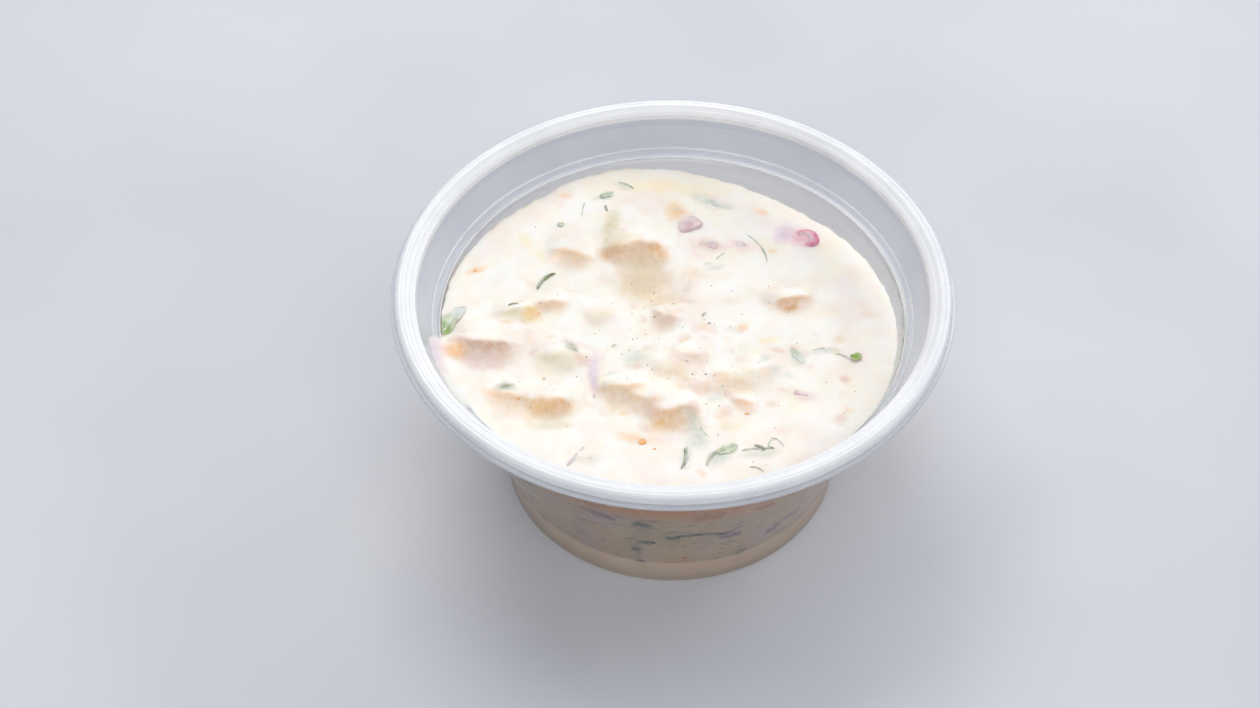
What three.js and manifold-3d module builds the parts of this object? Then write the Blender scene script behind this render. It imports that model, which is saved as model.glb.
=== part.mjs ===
// A single-serve pot of tartar sauce: a translucent moulded cup, open at the top,
// and the chunky sauce that fills it to just under the stacking ledge.
//
// Millimetres, +Z up. The origin is the centre of the cup's foot, on the surface
// that it stands on. The front of the pot, as served, looks along -Y.

import * as THREE from "three";
import { mergeVertices } from "three/addons/utils/BufferGeometryUtils.js";
import Module from "manifold-3d";

// ---- Driving dimensions of the cup ----
const WALL = 0.6;
const LIP_RADIUS = 35; // outer edge of the rim's thin lip
const LIP_HEIGHT = 30.6; // top plane of that lip
const LIP_THICKNESS = 0.35;
const LIP_WIDTH = 0.6;
const GROOVE_RISE = 0.12; // how far the lip climbs to the groove at the crown's foot
const CROWN_FOOT_RADIUS = 34.2; // outer foot of the rim's rounded crown
const CROWN_SHOULDER = 0.55; // its outer face stands up this far before it rounds
const CROWN_RISE = 1.25; // top of the crown above the lip
const CROWN_INNER_RADIUS = 32.1;
const CROWN_ROUND = 0.5; // and its inner edge is rounded by this
const FLANGE_DROP = 0.1; // underside of the flange, below the lip plane
const MOUTH_RADIUS = 31.8; // head of the upper wall, just under the crown
const UPPER_WALL_RADIUS = 29.98; // foot of the upper wall
const LEDGE_HEIGHT = LIP_HEIGHT - 4.23; // stacking ledge inside the cup
const LEDGE_INNER_RADIUS = 28.98;
const LEDGE_WIDTH = 0.52;
const LEDGE_RISER = 0.7; // slanted step from the ledge to the upper wall
const FOOT_RADIUS = 21.3; // outside, where the foot meets the surface
const FOOT_TOP_RADIUS = 21.53; // outside, where the foot turns into the tapered body
const FOOT_HEIGHT = 3.84;
const FOOT_CORNER = 0.45;
const FOOT_RING_WIDTH = 2.4; // flat ring that the cup stands on
const RECESS = 0.5; // the underside inside that ring is lifted by this
const FLOOR_HEIGHT = 1.1; // top of the cup's floor
const FLOOR_CORNER = 0.7;
const CUP_SEGMENTS = 72;
const CORNER_STEPS = 3; // straight steps in each rounded corner of the outline

// ---- Driving dimensions of the sauce ----
const GAP = 0.3; // between the sauce and the cup
const SAUCE_SEGMENTS = 72;
const TOP_RINGS = 27;
const SIDE_RINGS = 4;
const HIGH_EDGE = LIP_HEIGHT - 5.4; // where the sauce meets the back left wall
const LOW_EDGE = LIP_HEIGHT - 7.6; // and the back right wall
const MIDDLE_LEVEL = LIP_HEIGHT - 6.3;
const CLIMB = [72, 95]; // the edge climbs from low to high between these bearings, in degrees
const FALL = [240, 420]; // and sinks back to low between these
const RIPPLE = 0.09;
const CALM_RIM = 0.88; // the relief dies away from this share of the radius outwards

// Chunks under the surface lift it into lumps, and the spoon left hollows. Each has
// its top at x, y, is wide on either side of it, and reaches to the front and the back.
const LUMPS = [
  { x: -14.0, y: 15.8, wide: 5.6, front: 5.0, back: 5.5, rise: 1.2 },
  { x: -8.0, y: 15.6, wide: 4.0, front: 5.6, back: 4.0, rise: 1.3 },
  { x: -1.6, y: 17.2, wide: 5.4, front: 5.2, back: 4.6, rise: 1.7 },
  { x: -2.6, y: 6.6, wide: 6.6, front: 4.2, back: 6.6, rise: -1.3 },
  { x: -17.0, y: 4.2, wide: 4.2, front: 3.8, back: 3.4, rise: 1.1 },
  { x: -8.6, y: 4.4, wide: 2.6, front: 3.0, back: 2.4, rise: 0.7 },
  { x: -24.0, y: -2.4, wide: 5.4, front: 5.0, back: 4.4, rise: 1.8 },
  { x: -14.0, y: -2.4, wide: 4.2, front: 5.6, back: 3.6, rise: 1.0 },
  { x: -20.2, y: -9.4, wide: 3.0, front: 4.6, back: 3.2, rise: 1.0 },
  { x: -15.0, y: -11.4, wide: 4.0, front: 4.6, back: 3.8, rise: 1.8 },
  { x: -6.4, y: -7.6, wide: 3.8, front: 4.4, back: 3.2, rise: 1.2 },
  { x: -1.6, y: -10.6, wide: 4.8, front: 6.2, back: 4.0, rise: 1.9 },
  { x: 2.2, y: -3.2, wide: 5.0, front: 5.4, back: 4.0, rise: 0.8 },
  { x: 15.0, y: 5.6, wide: 4.0, front: 4.2, back: 3.6, rise: 1.2 },
  { x: 7.6, y: -7.8, wide: 4.4, front: 5.0, back: 3.8, rise: 0.8 },
];

// The larger bits that show in the top of the sauce. turn is in degrees from +X.
const DICE = [
  { x: 17.3, y: 16.2, length: 3.6, width: 3.0, turn: -28 },
  { x: 2.0, y: 18.4, length: 3.0, width: 2.4, turn: 35 },
  { x: 0.4, y: 21.4, length: 2.2, width: 1.9, turn: 10 },
  { x: 4.8, y: 14.8, length: 2.5, width: 1.6, turn: -20 },
  { x: 8.9, y: 14.5, length: 2.4, width: 1.4, turn: 5 },
  { x: 15.8, y: 3.4, length: 2.8, width: 1.8, turn: 25 },
  { x: 15.9, y: -10.7, length: 2.4, width: 1.3, turn: -15 },
  { x: -4.0, y: -18.9, length: 1.7, width: 1.4, turn: 30 },
  { x: 8.8, y: -14.2, length: 1.6, width: 1.4, turn: 0 },
  { x: 22.6, y: -4.8, length: 1.6, width: 1.7, turn: 20 },
  { x: -17.8, y: 2.0, length: 2.4, width: 1.4, turn: 40 },
];
const STRANDS = [
  { x: -16.1, y: 7.9, length: 3.2, turn: 48, bend: 0.3 },
  { x: 11.2, y: 13.7, length: 6.2, turn: -66, bend: 0.9 },
  { x: 6.3, y: 12.2, length: 2.2, turn: 46, bend: 0.2 },
  { x: 1.0, y: -21.8, length: 4.0, turn: 84, bend: -0.5 },
  { x: 11.6, y: -20.0, length: 3.0, turn: -32, bend: 0.4 },
  { x: -11.6, y: -21.4, length: 2.8, turn: 58, bend: 0.2 },
  { x: -10.0, y: -9.6, length: 4.4, turn: 88, bend: 0.3 },
  { x: 19.0, y: -3.5, length: 3.4, turn: 4, bend: 0.4 },
];
const LEAVES = [
  { x: -25.7, y: 0.4, length: 4.8, width: 2.2, turn: 56 },
  { x: 5.4, y: -20.6, length: 3.4, width: 1.8, turn: 40 },
  { x: 8.9, y: -19.9, length: 3.0, width: 1.5, turn: 8 },
  { x: 15.6, y: -4.8, length: 3.0, width: 1.4, turn: -62 },
  { x: -8.4, y: 22.9, length: 2.6, width: 1.3, turn: 15 },
  { x: 2.7, y: -15.4, length: 4.2, width: 1.4, turn: -58 },
];
const DICE_HEIGHT = 1.4;
const DICE_SINK = 0.28; // how far a dice's middle lies under the surface
const DICE_POWER = 4; // 2 is an ellipsoid, and more is squarer
const DICE_SIDES = 10;
const STRAND_WIDTH = 0.5;
const STRAND_SIDES = 6;
const STRAND_STEPS = 5;
const LEAF_THICKNESS = 0.5;
const LEAF_SIDES = 12;
const LEAF_WAVE = 0.12;

const radians = THREE.MathUtils.degToRad;
const { lerp, smoothstep, clamp } = THREE.MathUtils;

// ---- The cup ----

// Radius of the cup's inner face at a height, from the floor's corner to the mouth.
function innerRadius(z) {
  const taper =
    (LEDGE_INNER_RADIUS - (FOOT_TOP_RADIUS - WALL)) / (LEDGE_HEIGHT - FOOT_HEIGHT);
  if (z <= FOOT_HEIGHT) {
    return lerp(FOOT_RADIUS, FOOT_TOP_RADIUS, clamp(z / FOOT_HEIGHT, 0, 1)) - WALL;
  }
  return FOOT_TOP_RADIUS - WALL + taper * (Math.min(z, LEDGE_HEIGHT) - FOOT_HEIGHT);
}

// The closed outline of the cup's wall, from the axis under the floor, out and up
// the outer face, over the rim and down the inner face to the axis again.
function cupOutline() {
  const outline = new THREE.Path();
  const ringInner = FOOT_RADIUS - FOOT_CORNER - FOOT_RING_WIDTH;
  const bodyOuter = LEDGE_INNER_RADIUS + WALL;
  const upperOuter = UPPER_WALL_RADIUS + WALL;
  const lip = LIP_HEIGHT;
  const crown = lip + CROWN_RISE;

  // Underside, foot and body.
  outline.moveTo(0, RECESS);
  outline.lineTo(ringInner - RECESS, RECESS);
  outline.lineTo(ringInner, 0);
  outline.lineTo(FOOT_RADIUS - FOOT_CORNER, 0);
  outline.quadraticCurveTo(FOOT_RADIUS, 0, FOOT_RADIUS, FOOT_CORNER);
  outline.lineTo(FOOT_TOP_RADIUS, FOOT_HEIGHT);
  outline.lineTo(bodyOuter, LEDGE_HEIGHT - WALL / 2);
  outline.lineTo(bodyOuter + LEDGE_WIDTH, LEDGE_HEIGHT - WALL / 3);
  outline.lineTo(upperOuter, LEDGE_HEIGHT + LEDGE_RISER - WALL / 4);

  // Rim: the flange's underside, the lip, the groove above it and the crown.
  outline.lineTo(MOUTH_RADIUS + WALL, lip - LIP_THICKNESS);
  outline.lineTo(MOUTH_RADIUS + WALL * 1.5, lip - FLANGE_DROP);
  outline.lineTo(CROWN_FOOT_RADIUS, lip - FLANGE_DROP);
  outline.lineTo(LIP_RADIUS - LIP_WIDTH, lip - LIP_THICKNESS);
  outline.lineTo(LIP_RADIUS, lip - LIP_THICKNESS);
  outline.lineTo(LIP_RADIUS, lip);
  outline.lineTo(LIP_RADIUS - LIP_WIDTH, lip + GROOVE_RISE);
  outline.lineTo(CROWN_FOOT_RADIUS, lip + CROWN_SHOULDER);
  outline.quadraticCurveTo(
    CROWN_FOOT_RADIUS - CROWN_ROUND,
    crown,
    CROWN_INNER_RADIUS + CROWN_ROUND,
    crown,
  );
  outline.quadraticCurveTo(
    CROWN_INNER_RADIUS,
    crown,
    CROWN_INNER_RADIUS,
    crown - CROWN_ROUND,
  );

  // Inner face: mouth, upper wall, ledge, body and floor.
  outline.lineTo(MOUTH_RADIUS, lip + GROOVE_RISE);
  outline.lineTo(UPPER_WALL_RADIUS, LEDGE_HEIGHT + LEDGE_RISER);
  outline.lineTo(LEDGE_INNER_RADIUS + LEDGE_WIDTH, LEDGE_HEIGHT + LEDGE_WIDTH / 10);
  outline.lineTo(LEDGE_INNER_RADIUS, LEDGE_HEIGHT);
  outline.lineTo(innerRadius(FOOT_HEIGHT), FOOT_HEIGHT);
  const corner = innerRadius(FLOOR_HEIGHT + FLOOR_CORNER);
  outline.lineTo(corner, FLOOR_HEIGHT + FLOOR_CORNER);
  outline.quadraticCurveTo(corner, FLOOR_HEIGHT, corner - FLOOR_CORNER, FLOOR_HEIGHT);
  outline.lineTo(0, FLOOR_HEIGHT);
  return outline.getPoints(CORNER_STEPS);
}

function cupGeometry() {
  const geometry = new THREE.LatheGeometry(cupOutline(), CUP_SEGMENTS);
  return geometry.rotateX(Math.PI / 2); // the lathe turns about Y
}

// ---- The sauce ----

// Height at which the sauce meets the wall, at a bearing in radians.
function edgeHeight(bearing) {
  const degrees = THREE.MathUtils.radToDeg(bearing);
  const turned = ((degrees % 360) + 360) % 360;
  const after = turned < CLIMB[0] ? turned + 360 : turned;
  const share =
    smoothstep(after, CLIMB[0], CLIMB[1]) * (1 - smoothstep(after, FALL[0], FALL[1]));
  return lerp(LOW_EDGE, HIGH_EDGE, share);
}

// Radius of the sauce's own side at a height, a gap inside the cup's inner face.
const sideRadius = (z) => innerRadius(z) - GAP;

// What a lump adds at a place: its full rise on its top, and nothing past its reach.
function lumpRise(lump, x, y) {
  const reach = y < lump.y ? lump.front : lump.back;
  const share = Math.min(Math.hypot((x - lump.x) / lump.wide, (y - lump.y) / reach), 1);
  return lump.rise * (1 - share * share) ** 2;
}

// Gentle unevenness that no lump explains.
function ripple(x, y) {
  return (
    Math.sin(0.71 * x + 0.33 * y + 0.4) * Math.cos(0.64 * y - 0.37 * x) +
    Math.sin(0.95 * x - 0.2) * Math.sin(0.88 * y + 1.1)
  );
}

// Height of the sauce's top at a place.
function surfaceHeight(x, y) {
  const edge = edgeHeight(Math.atan2(y, x));
  const out = clamp(Math.hypot(x, y) / sideRadius(edge), 0, 1);
  const relief = LUMPS.reduce((sum, lump) => sum + lumpRise(lump, x, y), RIPPLE * ripple(x, y));
  return lerp(MIDDLE_LEVEL, edge, out * out) + relief * (1 - smoothstep(out, CALM_RIM, 1));
}

// The sauce alone: a lathe whose rings are laid on the floor, up the wall and
// inwards over the top.
function sauceGeometry() {
  const bottom = FLOOR_HEIGHT + GAP;
  const rings = 3 + SIDE_RINGS + TOP_RINGS;
  const blank = Array.from({ length: rings }, (_, ring) => new THREE.Vector2(1, ring));
  const geometry = new THREE.LatheGeometry(blank, SAUCE_SEGMENTS);
  const position = geometry.getAttribute("position");
  for (let i = 0; i < position.count; i++) {
    const ring = i % rings;
    const bearing = (Math.floor(i / rings) / SAUCE_SEGMENTS) * 2 * Math.PI;
    const cos = Math.cos(bearing);
    const sin = Math.sin(bearing);
    const edge = edgeHeight(bearing);
    let radius = 0;
    let z = bottom;
    if (ring === 1) {
      radius = sideRadius(bottom) - FLOOR_CORNER;
    } else if (ring === 2) {
      z = bottom + FLOOR_CORNER;
      radius = sideRadius(z);
    } else if (ring > 2 && ring < 3 + SIDE_RINGS) {
      z = lerp(FOOT_HEIGHT, edge, (ring - 3) / (SIDE_RINGS - 1));
      radius = sideRadius(z);
    } else if (ring > 2) {
      radius = sideRadius(edge) * (1 - (ring - 2 - SIDE_RINGS) / TOP_RINGS);
      z = surfaceHeight(radius * cos, radius * sin);
    }
    position.setXYZ(i, radius * cos, radius * sin, z);
  }
  return geometry;
}

// ---- Bits in the top of the sauce ----

// Lifts a flat bit made about the origin onto the sauce, following its surface.
function layOnSauce(geometry, bit, sink) {
  geometry.rotateZ(radians(bit.turn)).translate(bit.x, bit.y, 0);
  const position = geometry.getAttribute("position");
  for (let i = 0; i < position.count; i++) {
    const height = surfaceHeight(position.getX(i), position.getY(i));
    position.setZ(i, position.getZ(i) + height - sink);
  }
  return geometry;
}

// A small block with rounded corners: a sphere pushed out towards its box.
function diceGeometry(bit) {
  const geometry = new THREE.SphereGeometry(0.5, DICE_SIDES, DICE_SIDES / 2 + 1);
  const position = geometry.getAttribute("position");
  for (let i = 0; i < position.count; i++) {
    const corner = new THREE.Vector3().fromBufferAttribute(position, i);
    const sum = corner.toArray().reduce((total, part) => total + Math.abs(part) ** DICE_POWER, 0);
    corner.multiplyScalar(0.5 / sum ** (1 / DICE_POWER));
    position.setXYZ(i, corner.x, corner.y, corner.z);
  }
  geometry.scale(bit.length, bit.width, DICE_HEIGHT);
  return layOnSauce(geometry, bit, DICE_SINK);
}

// A short round strand with a bend, as a shred of herb or of onion.
function strandGeometry(bit) {
  const half = bit.length / 2;
  const curve = new THREE.QuadraticBezierCurve3(
    new THREE.Vector3(-half, -bit.bend / 2, 0),
    new THREE.Vector3(0, bit.bend * 1.5, 0),
    new THREE.Vector3(half, -bit.bend / 2, 0),
  );
  const radius = STRAND_WIDTH / 2;
  const section = new THREE.Shape();
  section.absarc(0, 0, radius, 0, 2 * Math.PI);
  const round = new THREE.Shape(section.getSpacedPoints(STRAND_SIDES).slice(0, STRAND_SIDES));
  const options = { steps: STRAND_STEPS, extrudePath: curve, bevelEnabled: false };
  return layOnSauce(new THREE.ExtrudeGeometry(round, options), bit, -radius / 3);
}

// A flat oval flake with a slight wave.
function leafGeometry(bit) {
  const geometry = new THREE.CylinderGeometry(0.5, 0.5, LEAF_THICKNESS, LEAF_SIDES, 1);
  geometry.rotateX(Math.PI / 2).scale(bit.length, bit.width, 1);
  const position = geometry.getAttribute("position");
  for (let i = 0; i < position.count; i++) {
    const along = (2 * Math.PI * position.getX(i)) / bit.length;
    position.setZ(i, position.getZ(i) + LEAF_WAVE * Math.sin(along));
  }
  return layOnSauce(geometry, bit, 0);
}

// ---- Joining ----

const library = await Module();
library.setup();

function solidOf(geometry) {
  const bare = geometry.clone();
  bare.deleteAttribute("normal");
  bare.deleteAttribute("uv");
  const merged = mergeVertices(bare, 1e-3);
  return new library.Manifold(
    new library.Mesh({
      numProp: 3,
      vertProperties: merged.getAttribute("position").array,
      triVerts: new Uint32Array(merged.index.array),
    }),
  );
}

function geometryOf(solid) {
  const mesh = solid.getMesh();
  const geometry = new THREE.BufferGeometry();
  geometry.setAttribute("position", new THREE.BufferAttribute(mesh.vertProperties, 3));
  geometry.setIndex(new THREE.BufferAttribute(mesh.triVerts, 1));
  return geometry;
}

// The sauce with its bits fused on.
function sauceWithBits() {
  const bits = [
    ...DICE.map(diceGeometry),
    ...STRANDS.map(strandGeometry),
    ...LEAVES.map(leafGeometry),
  ];
  const whole = bits.reduce(
    (solid, bit) => solid.add(solidOf(bit)),
    solidOf(sauceGeometry()),
  );
  return geometryOf(whole);
}

// ---- Materials and scene ----

const clearPlastic = new THREE.MeshStandardMaterial({
  color: 0xdfe4ea,
  roughness: 0.3,
  metalness: 0,
  transparent: true,
  opacity: 0.55,
});
const creamySauce = new THREE.MeshStandardMaterial({
  color: 0xf6ead2,
  roughness: 0.38,
  metalness: 0,
});

function piece(name, geometry, material) {
  const mesh = new THREE.Mesh(geometry, material);
  mesh.name = name;
  return mesh;
}

const tartarSauce = new THREE.Group();
tartarSauce.add(
  piece("cup", cupGeometry(), clearPlastic),
  piece("sauce", sauceWithBits(), creamySauce),
);

export default tartarSauce;
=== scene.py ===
"""A single-serve pot of tartar sauce: a translucent moulded cup and the chunky sauce in it.

Pieces are drawn in millimetres and brought to metres when they are finished. The origin is
the centre of the cup's foot, +Z is up and -Y is the front of the pot as served.
"""

import logging
import math
import random
from dataclasses import dataclass, field
from enum import Enum
from typing import Callable, Iterable

import bmesh
import bpy
import numpy as np
from mathutils import Matrix, Vector, noise

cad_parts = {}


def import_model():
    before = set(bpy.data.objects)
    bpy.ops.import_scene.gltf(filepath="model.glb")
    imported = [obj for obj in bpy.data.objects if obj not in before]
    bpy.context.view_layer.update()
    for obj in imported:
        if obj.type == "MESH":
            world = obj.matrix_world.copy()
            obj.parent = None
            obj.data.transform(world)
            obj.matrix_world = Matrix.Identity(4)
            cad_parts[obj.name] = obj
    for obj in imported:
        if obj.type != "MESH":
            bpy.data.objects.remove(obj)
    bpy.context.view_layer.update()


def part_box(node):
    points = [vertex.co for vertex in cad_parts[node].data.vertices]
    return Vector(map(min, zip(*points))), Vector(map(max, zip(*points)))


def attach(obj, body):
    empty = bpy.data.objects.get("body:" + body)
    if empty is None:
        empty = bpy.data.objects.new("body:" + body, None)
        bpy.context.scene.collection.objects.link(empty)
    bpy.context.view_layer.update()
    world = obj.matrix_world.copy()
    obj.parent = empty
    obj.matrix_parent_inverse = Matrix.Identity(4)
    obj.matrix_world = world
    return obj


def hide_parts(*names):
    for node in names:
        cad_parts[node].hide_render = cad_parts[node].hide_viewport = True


MM = 0.001
Colour = tuple[float, float, float, float]
Hue = tuple[int, int, int]
Input = float | tuple[float, ...] | bpy.types.NodeSocket
Setting = str | bpy.types.NodeTree
Layers = tuple[tuple[float, float, float], ...]
# Where a Mix node that mixes colours has its two colours and its result.
MIX_COLOURS = (6, 7)
MIX_RESULT = 2
log = logging.getLogger("sauce_pot")


def srgb(red: float, green: float, blue: float) -> Colour:
    """Turns a colour as a screen shows it into the renderer's linear one.

    Args:
        red, green, blue: screen values from 0 to 255.

    Returns:
        The linear colour, opaque.
    """
    linear = [((part / 255 + 0.055) / 1.055) ** 2.4 if part > 10.3 else part / 3294.6
              for part in (red, green, blue)]
    return (*linear, 1.0)


def soft_step(value: np.ndarray, low: float, high: float) -> np.ndarray:
    """Climbs smoothly from 0 at low to 1 at high.

    Args:
        value: where to read the step.
        low, high: where the climb starts and ends.

    Returns:
        The step at each value.
    """
    share = np.clip((np.asarray(value, float) - low) / (high - low), 0, 1)
    return share * share * (3 - 2 * share)


def hump(a: float, b: float, c: float) -> float:
    """Smooth chance unevenness at one place, between about -1 and 1."""
    return noise.noise(Vector((a, b, c)))


def mottle(x: np.ndarray, y: np.ndarray, size: float, layer: float) -> np.ndarray:
    """Smooth chance unevenness over the plan.

    Args:
        x, y: places in millimetres.
        size: how far apart its humps are, in millimetres.
        layer: picks one pattern out of many.

    Returns:
        A value between about -1 and 1 at each place.
    """
    flat = zip(np.ravel(x) / size, np.ravel(y) / size)
    values = [hump(u, v, layer) for u, v in flat]
    return np.reshape(values, np.shape(x))


def ruffle(base: np.ndarray | float, x: np.ndarray, y: np.ndarray, layers: Layers) -> np.ndarray:
    """Adds layers of unevenness to a value.

    Args:
        base: the value without them.
        x, y: places in millimetres.
        layers: the height, the size in millimetres and the pattern of each.

    Returns:
        The uneven value at each place.
    """
    return sum((height * mottle(x, y, size, layer) for height, size, layer in layers), base)


def patches(x: np.ndarray, y: np.ndarray, size: float, layer: float, low: float, high: float) -> np.ndarray:
    """Soft-edged patches, 1 inside them and 0 between them, from a pattern cut off at low and high."""
    return soft_step(mottle(x, y, size, layer), low, high)


# ---- Materials ----


def add_node(
    tree: bpy.types.NodeTree, kind: str, inputs: dict[str | int, Input], **settings: Setting
) -> bpy.types.Node:
    """Adds a shader node, sets it up and fills its inputs.

    Args:
        tree: the nodes of a material or a group.
        kind: the node's type, without ShaderNode before it.
        inputs: what each input takes, by its name or number: a plain value or a socket.
        settings: the node's own options.

    Returns:
        The node.
    """
    node = tree.nodes.new("ShaderNode" + kind)
    for name, value in settings.items():
        setattr(node, name, value)
    for name, value in inputs.items():
        if isinstance(value, bpy.types.NodeSocket):
            tree.links.new(value, node.inputs[name])
        else:
            node.inputs[name].default_value = value
    return node


class Shader:
    """Builds one material's nodes in few words."""

    def __init__(self, name: str) -> None:
        """Starts a material that holds a Principled shader and its output."""
        self.material = bpy.data.materials.new(name)
        self.material.use_nodes = True
        self.nodes = self.material.node_tree.nodes
        self.links = self.material.node_tree.links
        self.nodes.clear()
        self.surface = self.nodes.new("ShaderNodeBsdfPrincipled")
        self.output = self.nodes.new("ShaderNodeOutputMaterial")
        self.links.new(self.surface.outputs["BSDF"], self.output.inputs["Surface"])
        self.place = self.nodes.new("ShaderNodeTexCoord").outputs["Object"]

    def set(self, **values: float | Colour | tuple[float, float, float]) -> None:
        """Sets plain values on the shader's own sockets, named with _ for a space."""
        for name, value in values.items():
            self.surface.inputs[name.replace("_", " ")].default_value = value

    def feed(self, socket: str, output: bpy.types.NodeSocket) -> None:
        """Feeds one of the shader's sockets."""
        self.links.new(output, self.surface.inputs[socket])

    def add(self, kind: str, inputs: dict[str | int, Input], **settings: Setting) -> bpy.types.Node:
        """Adds a node to the material."""
        return add_node(self.material.node_tree, kind, inputs, **settings)

    def grain(self, size: float, detail: float = 3.0, rough: float = 0.55) -> bpy.types.NodeSocket:
        """Adds a cloudy pattern.

        Args:
            size: width of its clouds in millimetres.
            detail: how many finer layers it has.
            rough: how strong those layers are.

        Returns:
            The pattern's value, from 0 to 1.
        """
        inputs = {"Scale": 1 / (size * MM), "Detail": detail, "Roughness": rough, "Vector": self.place}
        return self.add("TexNoise", inputs).outputs["Fac"]

    def flecks(self, size: float, stretch: float) -> bpy.types.NodeSocket:
        """Adds a pattern of scattered flecks, seen through the wall.

        Args:
            size: how far apart they are, in millimetres.
            stretch: how many times longer than tall they are.

        Returns:
            The pattern's value, from 0 to 1.
        """
        lower = self.add("VectorMath", {0: self.place, 1: (1, 1, stretch)}, operation="MULTIPLY")
        inputs = {"Scale": 1 / (size * MM), "Detail": 1.5, "Distortion": 0.6}
        inputs["Vector"] = lower.outputs["Vector"]
        return self.add("TexNoise", inputs).outputs["Fac"]

    def rings(self, width: float) -> bpy.types.NodeSocket:
        """Adds uneven rings about the pot's axis, as a turned mould leaves them.

        Args:
            width: how wide a ring is, in millimetres.

        Returns:
            The rings' value, from 0 to 1.
        """
        level = self.add("VectorMath", {0: self.place, 1: (1, 1, 0)}, operation="MULTIPLY")
        radius = self.add("VectorMath", {0: level.outputs["Vector"]}, operation="LENGTH")
        inputs = {"Scale": 1 / (width * MM), "Detail": 2.0, "W": radius.outputs["Value"]}
        return self.add("TexNoise", inputs, noise_dimensions="1D").outputs["Fac"]

    def spread(
        self, value: bpy.types.NodeSocket, source: tuple[float, float], target: tuple[float, float] = (0, 1)
    ) -> bpy.types.NodeSocket:
        """Stretches a value from one range to another, clamped.

        Args:
            value: the value to stretch.
            source: its low and high ends.
            target: what those ends become.

        Returns:
            The stretched value.
        """
        ends = zip(("From Min", "From Max", "To Min", "To Max"), (*source, *target))
        return self.add("MapRange", {"Value": value, **dict(ends)}).outputs["Result"]

    def times(self, first: bpy.types.NodeSocket, second: Input) -> bpy.types.NodeSocket:
        """Multiplies two values."""
        return self.add("Math", {0: first, 1: second}, operation="MULTIPLY").outputs["Value"]

    def mix(self, share: bpy.types.NodeSocket, first: Input, second: Input) -> bpy.types.NodeSocket:
        """Mixes two colours.

        Args:
            share: 0 gives the first colour and 1 the second.
            first, second: plain colours or sockets.

        Returns:
            The mixed colour.
        """
        inputs = {0: share, **dict(zip(MIX_COLOURS, (first, second)))}
        return self.add("Mix", inputs, data_type="RGBA").outputs[MIX_RESULT]

    def attribute(self, name: str) -> bpy.types.Node:
        """Adds a reader of one of the mesh's own attributes."""
        return self.add("Attribute", {}, attribute_name=name)

    def bump(self, height: bpy.types.NodeSocket, depth: float, strength: float = 1.0) -> None:
        """Raises fine relief.

        Args:
            height: the pattern, from 0 to 1.
            depth: how high its tops stand, in millimetres.
            strength: how much of it shows.
        """
        node = self.add("Bump", {"Distance": depth * MM, "Strength": strength, "Height": height})
        self.feed("Normal", node.outputs["Normal"])

    def soften(self, weight: float, depth: float, reach: tuple[float, float, float]) -> None:
        """Lets light into the surface and out again.

        Args:
            weight: how much of the light goes in.
            depth: how deep it goes, in millimetres.
            reach: the share of that depth for red, green and blue.
        """
        self.set(Subsurface_Weight=weight, Subsurface_Scale=depth * MM, Subsurface_Radius=reach)

    def let_light_pass(self, share: float, tint: Colour) -> None:
        """Lets light that falls through the surface reach what is behind it.

        Args:
            share: how much of the light passes.
            tint: the colour that it takes on.
        """
        clear = self.add("BsdfTransparent", {"Color": tint})
        amount = self.times(self.add("LightPath", {}).outputs["Is Shadow Ray"], share)
        both = {0: amount, 1: self.surface.outputs["BSDF"], 2: clear.outputs["BSDF"]}
        either = self.add("MixShader", both)
        self.links.new(either.outputs["Shader"], self.output.inputs["Surface"])


def cream_film() -> bpy.types.NodeTree:
    """Makes the shared effect of sauce that clings to a bit in patches.

    Returns:
        A group that takes the bare Colour, the Film colour, the Amount covered, the patches'
        Scale and the Place, and puts out the mixed Colour and the film's Mask.
    """
    tree = bpy.data.node_groups.get("cream_film")
    if tree:
        return tree
    tree = bpy.data.node_groups.new("cream_film", "ShaderNodeTree")
    takes = {"Colour": "Color", "Film": "Color", "Amount": "Float", "Scale": "Float", "Place": "Vector"}
    gives = {"Colour": "Color", "Mask": "Float"}
    for way, sockets in (("INPUT", takes), ("OUTPUT", gives)):
        for name, kind in sockets.items():
            tree.interface.new_socket(name, in_out=way, socket_type="NodeSocket" + kind)
    entry = tree.nodes.new("NodeGroupInput").outputs
    cloud = add_node(tree, "TexNoise", {"Vector": entry["Place"], "Scale": entry["Scale"], "Detail": 2.0})
    edge = add_node(tree, "MapRange", {"Value": cloud.outputs["Fac"], "From Min": 0.36, "From Max": 0.62})
    amount = add_node(tree, "Math", {0: edge.outputs["Result"], 1: entry["Amount"]}, operation="MULTIPLY")
    mask = amount.outputs["Value"]
    colours = dict(zip(MIX_COLOURS, (entry["Colour"], entry["Film"])))
    blend = add_node(tree, "Mix", {0: mask, **colours}, data_type="RGBA")
    leave = tree.nodes.new("NodeGroupOutput").inputs
    tree.links.new(blend.outputs[MIX_RESULT], leave["Colour"])
    tree.links.new(mask, leave["Mask"])
    return tree


CREAM = srgb(251, 246, 239)


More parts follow.
